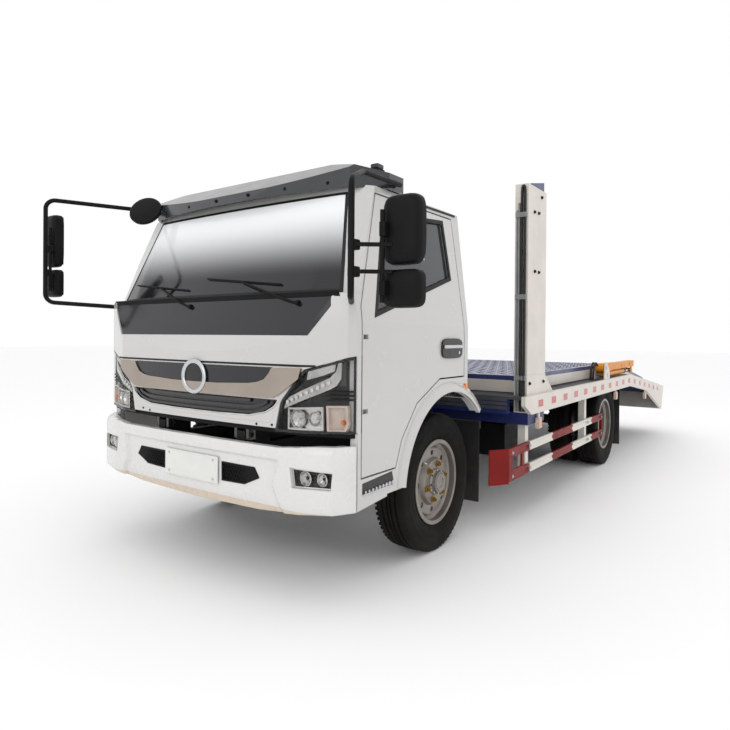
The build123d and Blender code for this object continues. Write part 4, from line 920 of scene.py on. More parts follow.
def disc_places(count, radius, centre, x, side, start=0.0):
    """Places round an axle line; each is turned with its angle and faces outwards."""
    places = []
    for i in range(count):
        angle = start + 2 * math.pi * i / count
        point = (x, centre.y + radius * math.cos(angle), centre.z + radius * math.sin(angle))
        places.append((point, (angle if side > 0 else -angle, 0.0, 0.0 if side > 0 else math.pi)))
    return places


# Wheels
FRONT_MID, OUTER_MID, INNER_MID = 0.858, 1.050, 0.778
TYRE_HALF = (
    (0.000, 0.4275), (0.006, 0.4275), (0.008, 0.4165), (0.016, 0.4165), (0.018, 0.4275), (0.040, 0.4270),
    (0.042, 0.4165), (0.051, 0.4165), (0.053, 0.4262), (0.080, 0.4245), (0.090, 0.4190), (0.0975, 0.4080),
    (0.1000, 0.3960), (0.1030, 0.3820), (0.1030, 0.3700), (0.1048, 0.3660), (0.1048, 0.3400),
    (0.1030, 0.3360), (0.1045, 0.3240), (0.0960, 0.2980), (0.0905, 0.2830), (0.0860, 0.2790),
    (0.0800, 0.2650), (0.0780, 0.2465),
)


class TRUCK_OT_tyres(bpy.types.Operator):
    """Tyres with ribs, side walls and shoulder blocks"""

    bl_idname = "truck.tyres"
    bl_label = "Tyres"

    def execute(self, context):
        section = [(-x, r) for x, r in reversed(TYRE_HALF[1:])] + list(TYRE_HALF)
        for name, side in SIDES:
            # columns: node, body, middles of its tyres, axle centre
            for node, body, mids, hub in (("front_tyre_", "front_wheel_", (FRONT_MID,), FRONT_HUB),
                                          ("rear_tyres_", "rear_wheels_", (OUTER_MID, INNER_MID), REAR_HUB)):
                shape = Shape()
                for mid in mids:
                    shape.lathe(section, (side * mid, hub.y, hub.z), "X", side, 112)
                tyre = shape.done(node + name + "_dressed", "tyre_rubber", body + name, angle=30.0)
                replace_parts(tyre, node + name)
                self.blocks(node + name, body + name, side, mids, hub)
        return {"FINISHED"}

    def blocks(self, node, body, side, mids, hub):
        """Shoulder blocks on both edges of the tread."""
        count = 72
        block = Shape().prism([(-0.006, -0.0095), (0.0035, -0.0085), (0.0035, 0.0085), (-0.006, 0.0095)],
                              "X", -0.016, 0.006)
        places = []
        for mid in mids:
            for edge in (1, -1):
                for i in range(count):
                    angle = 2 * math.pi * (i + (0.5 if edge > 0 else 0.0)) / count
                    point = (side * mid + edge * 0.0855, hub.y + 0.4185 * math.cos(angle),
                             hub.z + 0.4185 * math.sin(angle))
                    places.append((point, (angle, 0.0, 0.0)))
        copies(node + "_blocks", block, places, "tyre_rubber", body)


class TRUCK_OT_wheel_parts(bpy.types.Operator):
    """Wheel nuts, hub bolts, hub rings and valves"""

    bl_idname = "truck.wheel_parts"
    bl_label = "Wheel nuts and hubs"

    def execute(self, context):
        sizes = context.scene.truck_sizes
        for name, side in SIDES:
            # columns: body, axle centre, the nuts' plane and circle, the cap bolts' plane and circle
            for body, hub, nut_x, nut_r, bolt_x, bolt_r in (
                    ("front_wheel_", FRONT_HUB, FRONT_MID + 0.076, 0.111, FRONT_MID + 0.088, 0.073),
                    ("rear_wheels_", REAR_HUB, OUTER_MID - 0.126, 0.130, OUTER_MID - 0.116, 0.088)):
                nut = Shape().rod((0, 0, 0), (0.006, 0, 0), sizes.nut * 1.35, 20)
                nut.rod((0.005, 0, 0), (0.021, 0, 0), sizes.nut, 6).rod((0.02, 0, 0), (0.031, 0, 0),
                                                                        sizes.nut * 0.55, 12)
                places = disc_places(sizes.nut_count, nut_r, hub, side * nut_x, side, 0.26)
                copies(body + name + "_nuts", nut, places, "nut_brass", body + name)
                bolt = Shape().rod((0, 0, 0), (0.008, 0, 0), 0.0075, 6)
                places = disc_places(8, bolt_r, hub, side * bolt_x, side, 0.1)
                copies(body + name + "_cap_bolts", bolt, places, "bright_steel", body + name)
            shape = Shape()
            section = ((0.1125, 0.030), (0.1175, 0.032), (0.1175, 0.054), (0.1125, 0.057), (0.108, 0.057),
                       (0.108, 0.030))
            shape.lathe(section, (side * FRONT_MID, FRONT_HUB.y, FRONT_HUB.z), "X", side, 48)
            section = ((0.050, 0.126), (0.056, 0.128), (0.056, 0.138), (0.050, 0.142), (0.0505, 0.135))
            shape.lathe(section, (side * FRONT_MID, FRONT_HUB.y, FRONT_HUB.z), "X", side, 64)
            shape.done("front_wheel_" + name + "_rings", "wheel_paint", "front_wheel_" + name)
            valve = Shape()
            x, y, z = side * (FRONT_MID + 0.050), FRONT_HUB.y - 0.150, FRONT_HUB.z + 0.148
            valve.rod((x, y, z), (x + side * 0.034, y + 0.012, z - 0.012), 0.0045, 10)
            valve.rod((x + side * 0.030, y + 0.011, z - 0.011), (x + side * 0.044, y + 0.016, z - 0.016),
                      0.006, 10)
            valve.done("front_wheel_" + name + "_valve", "bright_steel", "front_wheel_" + name)
        return {"FINISHED"}


# Cab front
LAMP = ((0.606, 0.843), (0.642, 1.000), (0.782, 1.163), (0.900, 1.1975), (1.000, 1.2265), (1.028, 1.2345),
        (1.028, 0.857))


class TRUCK_OT_headlamps(bpy.types.Operator):
    """Corner headlamps: housing, strip lamp, reflectors, turn lamp and lens"""

    bl_idname = "truck.headlamps"
    bl_label = "Headlamps"

    def execute(self, context):
        for name, side in SIDES:
            prefix = "headlamp_" + name
            lens = front_skin([swapped(LAMP, side)], 0.000, 0.003).done(prefix + "_lens", "lamp_lens", "cab")
            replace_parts(lens, "headlamps")
            front_skin([swapped(LAMP, side)], 0.042, 0.003).done(prefix + "_housing", "lamp_dark", "cab")
            front_skin(ring_of(swapped(LAMP, side), 0.012), 0.004, 0.038).done(
                prefix + "_wall", "lamp_dark", "cab")
            # silver panels round the strip lamp
            panels = (
                ((0.655, 0.962), (0.668, 1.000), (0.690, 1.026), (0.905, 1.128), (0.935, 1.160),
                 (0.952, 1.226), (0.962, 1.226), (0.960, 1.122), (0.938, 1.088), (0.905, 1.068)),
                ((0.790, 1.112), (0.798, 1.160), (0.938, 1.220), (0.930, 1.160), (0.905, 1.150),
                 (0.880, 1.140)),
            )
            front_skin([swapped(panel, side) for panel in panels], 0.010, 0.010, step=0.03).done(
                prefix + "_silver", "lamp_silver", "cab", bevel=0.002)
            dark = ((0.690, 1.036), (0.784, 1.106), (0.885, 1.146), (0.905, 1.140), (0.885, 1.124))
            front_skin([swapped(dark, side)], 0.018, 0.008).done(prefix + "_wedge", "lamp_dark", "cab")
            cells = Shape()
            for i in range(9):
                x, z = side * (0.684 + 0.0275 * i), 1.0000 + 0.0130 * i
                y = nose_y(x, z) + 0.004
                cells.rod((x, y, z), (x, y + 0.008, z), 0.0105, 10, 0.006)
            cells.done(prefix + "_cells", "reflector_white", "cab")
            self.reflector(prefix, side)
            self.turn_lamp(prefix, side)
            slats = [swapped(((0.885, z), (0.890, z + 0.008), (1.020, z + 0.010), (1.020, z + 0.002)), side)
                     for z in (1.016, 1.036, 1.056)]
            front_skin(slats, 0.008, 0.030).done(prefix + "_slats", "black_plastic", "cab")
        return {"FINISHED"}

    def reflector(self, prefix, side):
        """The main lamp: a silver box with two bowls and their bulbs."""
        box = swapped(((0.684, 0.862), (0.684, 0.972), (0.876, 0.984), (0.878, 0.866)), side)
        front_skin(ring_of(box, 0.010), 0.008, 0.030).done(prefix + "_box", "lamp_silver", "cab")
        front_skin([inset(box, 0.008)], 0.036, 0.003).done(prefix + "_back", "lamp_silver", "cab")
        bowls, bulbs = Shape(), Shape()
        for x, z, radius in ((0.742, 0.918, 0.046), (0.832, 0.922, 0.038)):
            y = nose_y(x, z) + 0.014
            section = ((0.000, radius), (0.010, radius * 0.93), (0.020, radius * 0.66),
                       (0.025, radius * 0.30), (0.028, radius * 0.32), (0.023, radius * 0.72),
                       (0.012, radius * 0.99), (0.000, radius * 1.06))
            bowls.lathe(section, (side * x, y, z), "Y", 1, 12)
            bulbs.rod((side * x, y + 0.024, z), (side * x, y + 0.004, z), 0.010, 12, 0.007)
        bowls.done(prefix + "_bowls", "lamp_silver", "cab", angle=12.0)
        bulbs.done(prefix + "_bulbs", "reflector_white", "cab")

    def turn_lamp(self, prefix, side):
        """The turn lamp outboard of the main lamp."""
        box = swapped(((0.895, 0.862), (0.890, 0.990), (0.992, 0.994), (1.000, 0.900), (0.985, 0.866)), side)
        front_skin([box], 0.030, 0.004).done(prefix + "_turn_back", "turn_cream", "cab")
        front_skin(ring_of(box, 0.010), 0.008, 0.024).done(prefix + "_turn_box", "turn_cream", "cab",
                                                           bevel=0.002)
        bulb = Shape()
        x, z = side * 0.965, 0.910
        y = nose_y(x, z)
        bulb.rod((x, y + 0.030, z), (x, y + 0.010, z), 0.014, 16, 0.009)
        bulb.done(prefix + "_turn_bulb", "amber_lens", "cab", bevel=0.002)


def curve_line(points, x):
    """Height at x of a line through pairs."""
    for (x0, z0), (x1, z1) in zip(points, points[1:]):
        if x0 <= x <= x1:
            return z0 + (z1 - z0) * (x - x0) / (x1 - x0)
    return points[0][1] if x < points[0][0] else points[-1][1]


class TRUCK_OT_front(bpy.types.Operator):
    """Bright band, badge ring, grille slats, seams and screws"""

    bl_idname = "truck.front"
    bl_label = "Cab front"

    def execute(self, context):
        half = ((0.776, 1.172), (0.590, 1.168), (0.572, 1.140), (0.540, 1.108), (0.490, 1.092),
                (0.430, 1.084), (0.200, 1.074), (0.000, 1.072))
        low = ((0.000, 1.009), (0.250, 1.0095), (0.500, 1.012), (0.598, 1.016), (0.640, 1.036),
               (0.762, 1.118))
        outline = [(x, z) for x, z in half] + [(-x, z) for x, z in reversed(half[:-1])]
        outline += [(-x, z) for x, z in reversed(low)] + [(x, z) for x, z in low[1:]]
        band = front_skin([outline], -0.0135, 0.013, step=0.04).done("bright_band", "chrome", "cab",
                                                                     bevel=0.004)
        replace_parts(band, "chrome_band")
        recess = ((0.586, 1.171), (0.566, 1.138), (0.535, 1.104), (0.430, 1.080), (0.000, 1.068),
                  (-0.430, 1.080), (-0.535, 1.104), (-0.566, 1.138), (-0.586, 1.171))
        front_skin([recess], -0.004, 0.004).done("band_recess", "dark_panel", "cab")
        seam = ((-0.842, 1.178), (0.842, 1.178), (0.842, 1.189), (-0.842, 1.189))
        front_skin([seam], -0.0008, 0.004).done("front_seam", "rubber_seal", "cab")
        self.badge()
        self.slats()
        screws = Shape()
        for x, z in ((-0.512, 0.880), (0.586, 0.876), (-0.640, 0.905), (0.480, 0.872), (-0.440, 0.872)):
            y = nose_y(x, z)
            screws.rod((x, y + 0.002, z), (x, y - 0.003, z), 0.0075, 12, 0.006)
        screws.done("front_screws", "frame_steel", "cab")
        return {"FINISHED"}

    def badge(self):
        """A plain oval ring round a bare dark centre."""
        shape = Shape()
        section = []
        for i in range(14):
            angle = 2 * math.pi * i / 14
            section.append((-0.006 - 0.009 * math.sin(angle), 0.0865 + 0.0135 * math.cos(angle)))
        shape.lathe(section, (0.0, FACE_Y - 0.008, 1.100), "Y", 1, 72)
        for vertex in shape.mesh.verts:
            vertex.co.x *= 1.06
        shape.done("badge_ring", "bright_steel", "cab", angle=60.0)
        centre = Shape()
        section = ((-0.004, 0.0), (-0.005, 0.06), (-0.003, 0.082), (0.004, 0.082), (0.004, 0.0))
        centre.lathe(section, (0.0, FACE_Y - 0.008, 1.100), "Y", 1, 48)
        centre.done("badge_centre", "lamp_dark", "cab", angle=40.0)

    def slats(self):
        """Three bowed slats in the lower grille, and its thin pale trim."""
        rise = ((0.0, 0.0), (0.40, 0.003), (0.47, 0.008), (0.53, 0.024), (0.575, 0.050), (0.61, 0.085))
        for index, (base, height, depth) in enumerate(((0.918, 0.016, 0.002), (0.946, 0.018, 0.001),
                                                       (0.978, 0.020, 0.0))):
            xs = [-0.59 + 1.18 * i / 30 for i in range(31)]
            faces = [[(a, base + curve_line(rise, abs(a))), (b, base + curve_line(rise, abs(b))),
                      (b, base + height + curve_line(rise, abs(b))),
                      (a, base + height + curve_line(rise, abs(a)))]
                     for a, b in zip(xs, xs[1:])]
            faces = [face for face in faces if max(z for x, z in face) < 1.006]
            front_skin(faces, depth, 0.012, step=2.0).done("grille_slat_%d" % index, "slat_grey", "cab",
                                                           bevel=0.003)
        low = ((0.000, 0.906), (0.200, 0.9065), (0.433, 0.912), (0.545, 0.936), (0.600, 0.966),
               (0.640, 1.0095))
        for side in (1, -1):
            apron = [(0.0, 0.884)] + list(low) + [(0.650, 1.0095), (0.572, 0.884)]
            front_skin([swapped(apron, side)], -0.0012, 0.013).done(
                "grille_apron_%d" % (side + 1), "white_paint", "cab", bevel=0.003)
            strip = [swapped([a, b, (b[0] - 0.004, b[1] + 0.006), (a[0] - 0.004, a[1] + 0.006)], side)
                     for a, b in zip(low, low[1:])]
            front_skin(strip, -0.002, 0.004).done("grille_trim_%d" % (side + 1), "lamp_silver", "cab")
        # painted shade: a black strip behind the gap under the cab's front, standing in for the shade there
        shade_strip = ((-1.020, 0.833), (1.020, 0.833), (1.020, 0.862), (-1.020, 0.862))
        front_skin([shade_strip], 0.024, 0.004).done("front_apron", "black_plastic", "cab")


MESH = ((0.246, 0.652), (0.492, 0.651), (0.525, 0.599), (0.421, 0.552), (0.248, 0.548))
FOG = ((0.738, 0.683), (0.962, 0.676), (0.955, 0.588), (0.752, 0.584))


def inside(outline, x, z):
    """Whether a place lies inside an outline."""
    hit = False
    for (x0, z0), (x1, z1) in zip(outline, list(outline[1:]) + [outline[0]]):
        if (z0 > z) != (z1 > z) and x < x0 + (x1 - x0) * (z - z0) / (z1 - z0):
            hit = not hit
    return hit


class TRUCK_OT_bumper_parts(bpy.types.Operator):
    """Hexagon mesh, fog lamps, plate frame and relief of the bumper"""

    bl_idname = "truck.bumper_parts"
    bl_label = "Bumper parts"

    def execute(self, context):
        for name, side in SIDES:
            cell = Shape()
            section = ((-0.003, 0.0100), (-0.003, 0.0122), (0.003, 0.0122), (0.003, 0.0100))
            cell.lathe(section, (0, 0, 0), "Y", 1, 6)
            places = []
            pitch = 0.0215
            for row_index in range(8):
                for column in range(16):
                    x = 0.250 + pitch * (column + 0.5 * (row_index % 2))
                    z = 0.553 + pitch * 0.866 * row_index
                    if inside(inset(MESH, 0.010), x, z):
                        places.append(((side * x, bumper_y(x, z) + 0.006, z), (0.0, 0.0, 0.0)))
            copies("mesh_" + name, cell, places, "black_plastic", "chassis")
            front_skin(ring_of(swapped(MESH, side), 0.010), 0.002, 0.014, bumper_y).done(
                "mesh_frame_" + name, "black_plastic", "chassis", bevel=0.002)
            self.fog_lamp(name, side)
        plate = ((-0.228, 0.526), (0.228, 0.526), (0.228, 0.674), (-0.228, 0.674))
        front_skin(ring_of(plate, 0.010), -0.0085, 0.006, bumper_y).done(
            "plate_frame", "plate_blank", "chassis", bevel=0.002)
        screws = Shape()
        for x, z in ((-0.19, 0.652), (0.19, 0.652), (-0.19, 0.548), (0.19, 0.548)):
            y = BUMPER_FACE - 0.009
            screws.rod((x, y, z), (x, y - 0.003, z), 0.006, 12, 0.005)
        screws.done("plate_screws", "bright_steel", "chassis")
        skin_piece = sculpted("bumper", self.relief, self.cuts_x(), self.cuts_z())
        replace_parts(place_mesh("bumper_skin", skin_piece, "bumper_paint", "chassis", angle=28.0), "bumper")
        return {"FINISHED"}

    def cuts_x(self):
        """Lines across the bumper where its relief turns."""
        return [side * (0.57 + 0.012 * i) for i in range(15) for side in (1, -1)]

    def cuts_z(self):
        """Heights where the bumper's relief turns."""
        return [0.440 + 0.020 * i for i in range(13)] + [0.694, 0.700, 0.706, 0.712, 0.718, 0.750, 0.762,
                                                         0.774, 0.786]

    def relief(self, point):
        """Raised cheeks and top band, a rounded top and a lip that turns under."""
        reach, z = abs(point.x), point.z
        edge = curve_line(((0.42, 0.690), (0.58, 0.612), (0.72, 0.655)), z)
        cheek = min(max((reach - edge) / 0.012, 0.0), 1.0)
        band = min(max((z - 0.700) / 0.012, 0.0), 1.0)
        proud = 0.017 * max(cheek, band) - 0.005
        top = max(z - 0.752, 0.0) / 0.046
        foot = max(0.486 - z, 0.0) / 0.06
        back = 0.024 * min(top, 1.0) ** 2 + 0.022 * min(foot, 1.0)
        return Vector((0.0, back - proud if point.y < CORNER_Y - 0.02 else 0.0, 0.0))

    def fog_lamp(self, name, side):
        """Housing, bowl and lens of one fog lamp."""
        outline = swapped(FOG, side)
        lens = front_skin([inset(outline, 0.003)], 0.008, 0.003, bumper_y).done(
            "fog_%s_lens" % name, "lamp_lens", "chassis")
        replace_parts(lens, "fog_lamps")
        front_skin([outline], 0.034, 0.003, bumper_y).done("fog_%s_back" % name, "lamp_dark", "chassis")
        front_skin(ring_of(outline, 0.009), 0.004, 0.030, bumper_y).done("fog_%s_frame" % name, "lamp_silver",
                                                                        "chassis", bevel=0.002)
        bowl = Shape()
        for x, radius in ((0.810, 0.034), (0.895, 0.030)):
            y = bumper_y(x, 0.63) + 0.014
            section = ((0.0, radius), (0.010, radius * 0.8), (0.016, radius * 0.3), (0.018, radius * 0.32),
                       (0.012, radius * 0.88), (0.0, radius * 1.1))
            bowl.lathe(section, (side * x, y, 0.632), "Y", 1, 24)
        bowl.done("fog_%s_bowls" % name, "lamp_silver", "chassis")


class TRUCK_OT_windscreen_parts(bpy.types.Operator):
    """Windscreen and its seal, wipers, the visor's screws and the roof lamps"""

    bl_idname = "truck.windscreen_parts"
    bl_label = "Windscreen parts"

    def execute(self, context):
        screen = ((-0.930, 1.553), (0.930, 1.553), (0.806, 2.108), (-0.806, 2.108))
        # the windscreen's glass carries a painted reflection, dark low down and pale high up
        front_skin([screen], -0.004, 0.004, screen_y).done("windscreen", "windscreen_reflection_glass", "cab")
        front_skin(ring_of(screen, 0.016), -0.0065, 0.006, screen_y).done(
            "windscreen_seal", "rubber_seal", "cab", bevel=0.002)
        tray = ((-0.960, 1.528), (0.960, 1.528), (0.950, 1.556), (-0.950, 1.556))
        front_skin([tray], -0.003, 0.006, nose_y).done("wiper_tray", "black_plastic", "cab", bevel=0.002)
        screws = Shape()
        for x in (-0.70, -0.42, -0.14, 0.14, 0.42, 0.70):
            y = FRONT_AXLE - 0.862 + 0.080 * (x / 0.83) ** 2
            screws.rod((x, y + 0.002, 2.160), (x, y - 0.004, 2.160), 0.011, 16, 0.008)
        screws.done("visor_screws", "black_plastic", "cab")
        for name, side in SIDES:
            base = Shape().box((side * 0.860 - 0.030, FRONT_AXLE - 0.600, 2.235),
                               (side * 0.860 + 0.030, FRONT_AXLE - 0.530, 2.262))
            base.done("roof_lamp_base_" + name, "black_plastic", "cab", bevel=0.005)
            lamp = Shape().box((side * 0.860 - 0.026, FRONT_AXLE - 0.597, 2.262),
                               (side * 0.860 + 0.026, FRONT_AXLE - 0.534, 2.290))
            lamp.done("roof_lamp_" + name, "slat_grey", "cab", bevel=0.008, segments=3)
        # columns: pivot and tip of each arm, seen from the front
        for index, (pivot, tip) in enumerate((((-0.138, 1.500), (-0.500, 1.630)),
                                              ((0.708, 1.500), (0.250, 1.632)))):
            (x0, z0), (x1, z1) = pivot, tip
            y0, y1 = nose_y(x0, z0) - 0.014, screen_y(x1, z1) - 0.016
            root = Shape().rod((x0, nose_y(x0, z0) + 0.010, z0), (x0, y0 - 0.006, z0), 0.016, 20, 0.012)
            root.done("wiper_%d_pivot" % index, "black_plastic", "cab", bevel=0.002)
            points = [(x0, y0, z0), (x0 - 0.08, y0 - 0.006, z0 + 0.02),
                      ((x0 + x1) / 2, (y0 + y1) / 2 - 0.014, (z0 + z1) / 2), (x1, y1, z1)]
            tube("wiper_%d_arm" % index, points, 0.006, "black_plastic", "cab")
            blade = []
            for share in (-0.30, -0.15, 0.0, 0.15, 0.30):
                x, z = x1 + share, z1 - share * 0.10
                blade.append((x, screen_y(x, z) - 0.002 - 0.004 * abs(share), z))
            tube("wiper_%d_blade" % index, blade, 0.006, "rubber_seal", "cab")
            spine = [(x, y - 0.010, z + 0.003) for x, y, z in blade]
            tube("wiper_%d_spine" % index, spine, 0.0045, "black_plastic", "cab")
        return {"FINISHED"}


DOOR_GLASS = ((-0.800, 1.450), (-0.655, 1.985), (0.020, 2.045), (0.055, 1.700))


class TRUCK_OT_cab_side(bpy.types.Operator):
    """Window seals, handles, lamps, steps, arch lips and mirrors on the cab's sides"""

    bl_idname = "truck.cab_side"
    bl_label = "Cab sides"

    def execute(self, context):
        for name, side in SIDES:
            side_skin(ring_of(inset(DOOR_GLASS, -0.016), 0.024), side, 0.002, 0.010).done(
                "window_seal_" + name, "rubber_seal", "door_" + name, bevel=0.002)
            pocket = [(0.016 + 0.135 * superform(math.cos(t), 0.5),
                       1.262 + 0.062 * superform(math.sin(t), 0.5))
                      for t in [2 * math.pi * i / 32 for i in range(32)]]
            side_skin([pocket], side, 0.0135, 0.013).done("handle_pocket_" + name, "lamp_dark",
                                                          "door_" + name, bevel=0.004)
            bar = Shape()
            bar.box((side * 1.046, FRONT_AXLE - 0.108, 1.262), (side * 1.056, FRONT_AXLE + 0.142, 1.284))
            bar.box((side * 1.040, FRONT_AXLE - 0.100, 1.264), (side * 1.050, FRONT_AXLE - 0.075, 1.282))
            bar.box((side * 1.040, FRONT_AXLE + 0.110, 1.264), (side * 1.050, FRONT_AXLE + 0.135, 1.282))
            bar.done("handle_bar_" + name, "bright_steel", "door_" + name, bevel=0.004)
            lock = Shape().rod((side * 1.040, FRONT_AXLE + 0.100, 1.235),
                               (side * 1.046, FRONT_AXLE + 0.100, 1.235), 0.010, 16)
            lock.done("lock_" + name, "bright_steel", "door_" + name, bevel=0.001)
            gutter = ((-0.215, 2.108), (0.205, 2.112), (0.205, 2.124), (-0.215, 2.120))
            side_skin([gutter], side, 0.006, 0.008).done("gutter_" + name, "rubber_seal", "cab")
            lamp = ((0.196, 0.972), (0.226, 0.972), (0.226, 1.034), (0.196, 1.034))
            side_skin([lamp], side, 0.014, 0.016).done("side_lamp_" + name, "amber_lens", "cab", bevel=0.004)
            step = ((-0.925, 0.552), (-0.640, 0.572), (-0.655, 0.622), (-0.925, 0.606))
            side_skin([step], side, 0.001, 0.004).done("step_recess_" + name, "lamp_dark", "cab")
            treads = Shape()
            for i in range(9):
                y = FRONT_AXLE - 0.912 + 0.031 * i
                treads.box((side * 1.024, y, 0.556), (side * 1.040, y + 0.012, 0.568 + 0.001 * i))
            treads.box((side * 1.020, FRONT_AXLE - 0.922, 0.546), (side * 1.038, FRONT_AXLE - 0.645, 0.554))
            treads.done("step_treads_" + name, "bright_steel", "cab", bevel=0.001)
            self.arch_lip(name, side)
            self.mirrors(name, side)
        return {"FINISHED"}

    def arch_lip(self, name, side):
        """The raised rim round a steered wheel's arch."""
        # columns: radius, distance out from the cab's side
        section = ((0.547, -0.006), (0.547, 0.021), (0.560, 0.023), (0.604, 0.007), (0.608, 0.000),
                   (0.608, -0.006))
        lip, rings = Shape(), []
        for i in range(41):
            angle = math.radians(173.0 - (173.0 - 44.0) * i / 40)
            rings.append([lip.mesh.verts.new((side * (CAB_HALF + out), FRONT_AXLE + radius * math.cos(angle),
                                              ARCH_Z + radius * math.sin(angle))) for radius, out in section])
        lip.hull(rings).done("arch_lip_" + name, "white_paint", "cab", angle=50.0)

    def mirrors(self, name, side):
        """Domed mirror heads, their glasses, and the tube and clamps that carry them."""
        heads = ((1.776, 0.292), (1.532, 0.160)) if side > 0 else ((1.980, 0.360), (1.686, 0.190))
        brackets = (1.712, 1.600) if side > 0 else (1.900, 1.740)
        shells, glasses, clamps = Shape(), Shape(), Shape()
        for z, height in heads:
            levels = ((-1.1765, 0.93), (-1.180, 1.0), (-1.205, 1.0), (-1.225, 0.96), (-1.238, 0.84),
                      (-1.2435, 0.55))
            rings = []
            for y, share in levels:
                ring = []
                for i in range(40):
                    angle = 2 * math.pi * i / 40
                    x = 0.093 * superform(math.cos(angle), 0.42) * share
                    up = height / 2 * superform(math.sin(angle), 0.42) * (1 - (1 - share) * 0.186 / height)
                    ring.append(shells.mesh.verts.new((side * 1.430 + x, FRONT_AXLE + y, z + up)))
                rings.append(ring)
            shells.hull(rings)
            glasses.box((side * 1.430 - 0.080, FRONT_AXLE - 1.1765, z - height / 2 + 0.016),
                        (side * 1.430 + 0.080, FRONT_AXLE - 1.1725, z + height / 2 - 0.016))
            clamps.box((side * 1.352, FRONT_AXLE - 1.276, z - 0.032),
                       (side * 1.382, FRONT_AXLE - 1.236, z + 0.032))
        if side > 0:
            self.look_down(shells)
        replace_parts(shells.done("mirror_shells_" + name, "black_plastic", "cab", angle=50.0), "mirror_heads")
        glasses.done("mirror_glass_" + name, "mirror_silver", "cab", bevel=0.001)
        foot, top = heads[-1][0] - 0.06, heads[0][0] + 0.08
        stem = [(side * 1.362, FRONT_AXLE - 1.262, z) for z in (foot, (foot + top) / 2, top)]
        tube("mirror_stem_" + name, stem, 0.0105, "black_plastic", "cab")
        for z in brackets:
            clamps.box((side * 1.262 - 0.022, FRONT_AXLE - 1.343, z - 0.022),
                       (side * 1.262 + 0.022, FRONT_AXLE - 1.306, z + 0.022))
        clamps.done("mirror_clamps_" + name, "black_plastic", "cab", bevel=0.006)

    def look_down(self, shells):
        """The round look-down mirror's shell at the right-hand end of the visor."""
        centre = Vector((-CAB_HALF + 0.178, FRONT_AXLE - 0.862, 2.177))
        turn = Matrix.Rotation(math.radians(30), 4, "Z") @ Matrix.Rotation(math.radians(62), 4, "X")
        section = ((0.023, 0.0), (0.023, 0.100), (0.020, 0.108), (0.012, 0.112), (-0.004, 0.108),
                   (-0.016, 0.085), (-0.022, 0.045), (-0.023, 0.0))
        shells.lathe(section, (0, 0, 0), "Z", 1, 48)
        for vertex in list(shells.mesh.verts):
            if vertex.co.length < 0.2:
                vertex.co = centre + turn @ vertex.co


# Bed
class TRUCK_OT_rail_parts(bpy.types.Operator):
    """Reflective squares of the side rails"""

    bl_idname = "truck.rail_parts"
    bl_label = "Rail parts"

    def execute(self, context):
        sizes = context.scene.truck_sizes
        count, first, level, height = 17, FRONT_AXLE + 1.070, 0.848, 0.052
        length = sizes.reflector
        for name, side in SIDES:
            shape = Shape()
            for i in range(count):
                y = first + sizes.reflector_pitch * i
                start, end = y - length / 2, y + length / 2
                near, far = slope_z(start, level), slope_z(end, level)
                outline = [(start, near - height / 2), (end, far - height / 2), (end, far + height / 2),
                           (start, near + height / 2)]
                x = side * RAIL_FACE
                shape.prism(outline, "X", x - side * 0.0004, x + side * 0.0012)
            shape.done("reflectors_" + name, "reflector_red", "chassis")
        return {"FINISHED"}


class TRUCK_OT_deck_parts(bpy.types.Operator):
    """Ribs and front boards of the lower deck, and studs of the upper deck"""

    bl_idname = "truck.deck_parts"
    bl_label = "Deck parts"

    def execute(self, context):
        pitch = context.scene.truck_sizes.plank_pitch
        rib_section = [(-0.011, 0.0), (-0.007, 0.004), (0.007, 0.004), (0.011, 0.0)]
        rib = Shape().prism(rib_section, "X", -1.100, 1.100)
        first = FRONT_AXLE + 0.775
        count = int((HUMP_Y - first) / pitch)
        row("deck_ribs", rib, (0, first, 0.912), (0, pitch, 0), count, "deck_grey", "chassis")
        rib = Shape().prism(rib_section, "X", -1.180, 1.180)
        first = HUMP_Y + 0.03
        count = int((TAIL_Y - HUMP_Y - 0.05) / pitch)
        row("slope_ribs", rib, (0, first, slope_z(first, 0.9125)), (0, pitch, -pitch * SLOPE), count,
            "deck_grey", "chassis")
        boards = Shape()
        for z in (0.815, 0.845, 0.875):
            boards.box((-1.098, FRONT_AXLE + 0.7455, z), (1.098, FRONT_AXLE + 0.7495, z + 0.025))
        boards.done("deck_boards", "deck_grey", "chassis", bevel=0.002)
        stud = Shape().prism([(-0.016, 0.0), (0.0, 0.0045), (0.016, 0.0), (0.0, -0.0045)], "Z", 0.0, 0.003)
        places = []
        for i in range(40):
            for j in range(24):
                x, y = -0.960 + 0.0505 * i, FRONT_AXLE + 1.085 + 0.125 * j
                places.append(((x, y + (0.0625 if i % 2 else 0.0), 1.030),
                               (0.0, 0.0, 0.8 if (i + j) % 2 else -0.8)))
        copies("deck_studs", stud, places, "navy_paint", "upper_deck")
        return {"FINISHED"}


